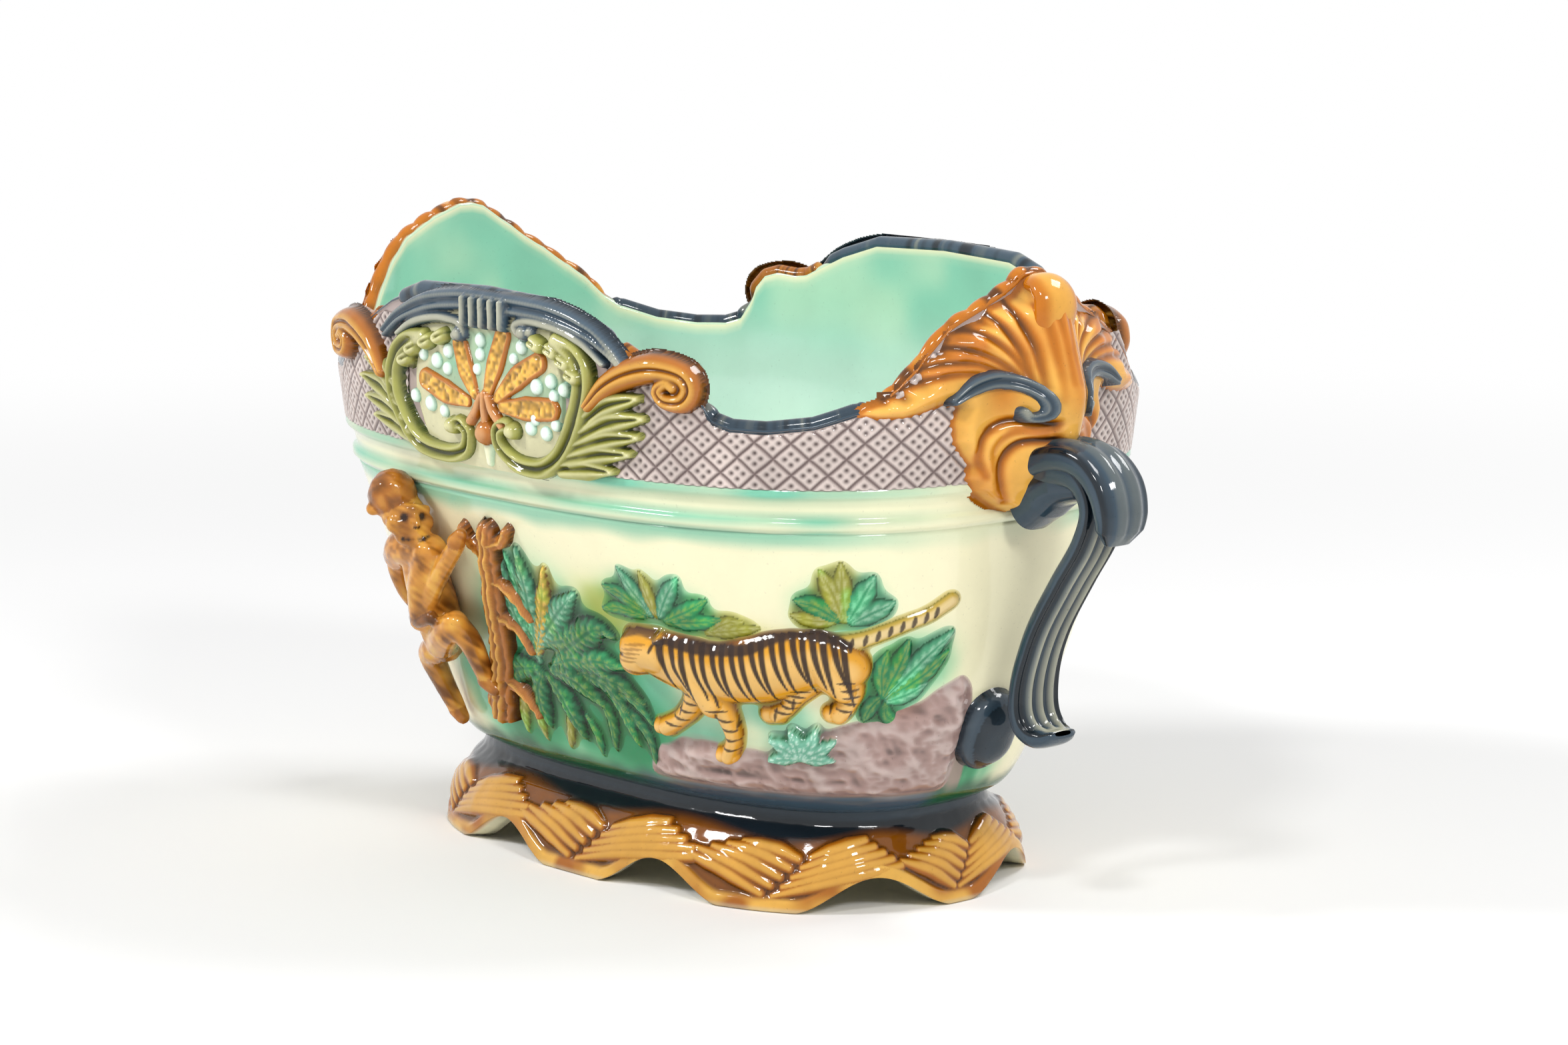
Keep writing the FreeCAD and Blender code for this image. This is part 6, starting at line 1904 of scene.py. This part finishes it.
class PLANTER_OT_stage(Operator):
    """Make the pale floor, the soft lights and the camera"""
    bl_idname = "planter.stage"
    bl_label = "Stage"

    camera_place = (1.3989, -1.2069, 0.4402)
    camera_target = (0.01429, 0.01616, 0.1285)
    camera_lens = 109.16
    sensor_width = 36.0
    clip_end = 50.0
    world_strength = 0.3
    floor_reach = 6.0
    floor_tone = (0.93, 0.93, 0.93, 1.0)
    white = (1.0, 1.0, 1.0, 1.0)
    near_floor = 0.35
    far_floor = 1.5
    lamp_target = (0.0, 0.0, 0.12)
    lamp_height_share = 0.7
    # Place, breadth and power of each lamp
    lamps = (
        ((-0.9, -1.6, 1.6), 0.55, 26),
        ((1.7, -0.5, 1.3), 0.45, 15),
        ((0.5, 1.3, 1.9), 0.9, 22),
        ((0.9, -1.7, 2), 0.35, 14))

    def aimed(self, data, place, target):
        """Lamp or camera at a place, turned to a target."""
        holder = bpy.data.objects.new(data.name, data)
        bpy.context.scene.collection.objects.link(holder)
        holder.location = place
        aim = Vector(target) - holder.location
        holder.rotation_euler = aim.to_track_quat("-Z", "Y").to_euler()
        return holder

    def execute(self, context):
        scene = context.scene
        reach = self.floor_reach
        corners = [(-reach, -reach, 0.0), (reach, -reach, 0.0), (reach, reach, 0.0), (-reach, reach, 0.0)]
        mesh = bpy.data.meshes.new("floor")
        mesh.from_pydata(corners, [], [(0, 1, 2, 3)])
        floor = bpy.data.objects.new("floor", mesh)
        scene.collection.objects.link(floor)
        material = bpy.data.materials.new("pale_floor")
        tree = GlazeTree(material)
        shade = tree.add("ShaderNodeBsdfDiffuse", None, {"Color": self.floor_tone})
        bright = tree.add("ShaderNodeEmission", None, {"Color": self.white, "Strength": 1.0})
        place = tree.add("ShaderNodeTexCoord", output="Object")
        distance = tree.add("ShaderNodeVectorMath", {"operation": "LENGTH"}, {0: place}, output="Value")
        far = tree.add("ShaderNodeMapRange", {"interpolation_type": "SMOOTHSTEP"}, {
            "Value": distance, "From Min": self.near_floor, "From Max": self.far_floor, "To Min": 0.0,
            "To Max": 1.0})
        blend = tree.add("ShaderNodeMixShader", None, {0: far * tree.background_rays(), 1: shade, 2: bright})
        tree.add("ShaderNodeOutputMaterial", None, {"Surface": blend}, output=None)
        mesh.materials.append(material)
        scene.world = bpy.data.worlds.new("studio")
        tree = GlazeTree(scene.world)
        strength = self.world_strength + (1.0 - self.world_strength) * tree.background_rays()
        light = tree.add("ShaderNodeBackground", None, {"Color": self.white, "Strength": strength})
        tree.add("ShaderNodeOutputWorld", None, {"Surface": light}, output=None)
        for index, (place, breadth, power) in enumerate(self.lamps):
            lamp = bpy.data.lights.new("softbox_%d" % index, "AREA")
            lamp.shape = "RECTANGLE"
            lamp.size = breadth
            lamp.size_y = breadth * self.lamp_height_share
            lamp.energy = power
            self.aimed(lamp, place, self.lamp_target)
        camera = bpy.data.cameras.new("camera")
        camera.lens = self.camera_lens
        camera.sensor_width = self.sensor_width
        camera.sensor_fit = "HORIZONTAL"
        camera.clip_end = self.clip_end
        scene.camera = self.aimed(camera, self.camera_place, self.camera_target)
        scene.view_settings.view_transform = "Standard"
        return {"FINISHED"}


class PLANTER_PT_panel(Panel):
    """Lists the planter's operators and settings."""
    bl_idname = "PLANTER_PT_panel"
    bl_label = "Majolica planter"
    bl_space_type = "VIEW_3D"
    bl_region_type = "UI"
    bl_category = "Planter"

    def draw(self, context):
        for operator in OPERATORS:
            self.layout.operator(operator.bl_idname)
        for group in (context.scene.planter_glazes, context.scene.planter_sizes):
            box = self.layout.box()
            for name in group.__annotations__:
                box.prop(group, name)


OPERATORS = (
    PLANTER_OT_stage, PLANTER_OT_vessel, PLANTER_OT_foot, PLANTER_OT_handles, PLANTER_OT_end_leaves,
    PLANTER_OT_cartouches, PLANTER_OT_rim, PLANTER_OT_tigers, PLANTER_OT_monkeys, PLANTER_OT_plants,
    PLANTER_OT_rocks)
CLASSES = (PlanterGlazes, PlanterSizes) + OPERATORS + (PLANTER_PT_panel,)


def register():
    """Register the classes and the scene's settings."""
    for one in CLASSES:
        bpy.utils.register_class(one)
    bpy.types.Scene.planter_glazes = PointerProperty(type=PlanterGlazes)
    bpy.types.Scene.planter_sizes = PointerProperty(type=PlanterSizes)


def unregister():
    """Take back what register added."""
    del bpy.types.Scene.planter_sizes
    del bpy.types.Scene.planter_glazes
    for one in reversed(CLASSES):
        bpy.utils.unregister_class(one)


def main():
    """Build the scene."""
    register()
    for operator in OPERATORS:
        group, name = operator.bl_idname.split(".")
        getattr(getattr(bpy.ops, group), name)()
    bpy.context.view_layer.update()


if __name__ == "__main__":
    main()
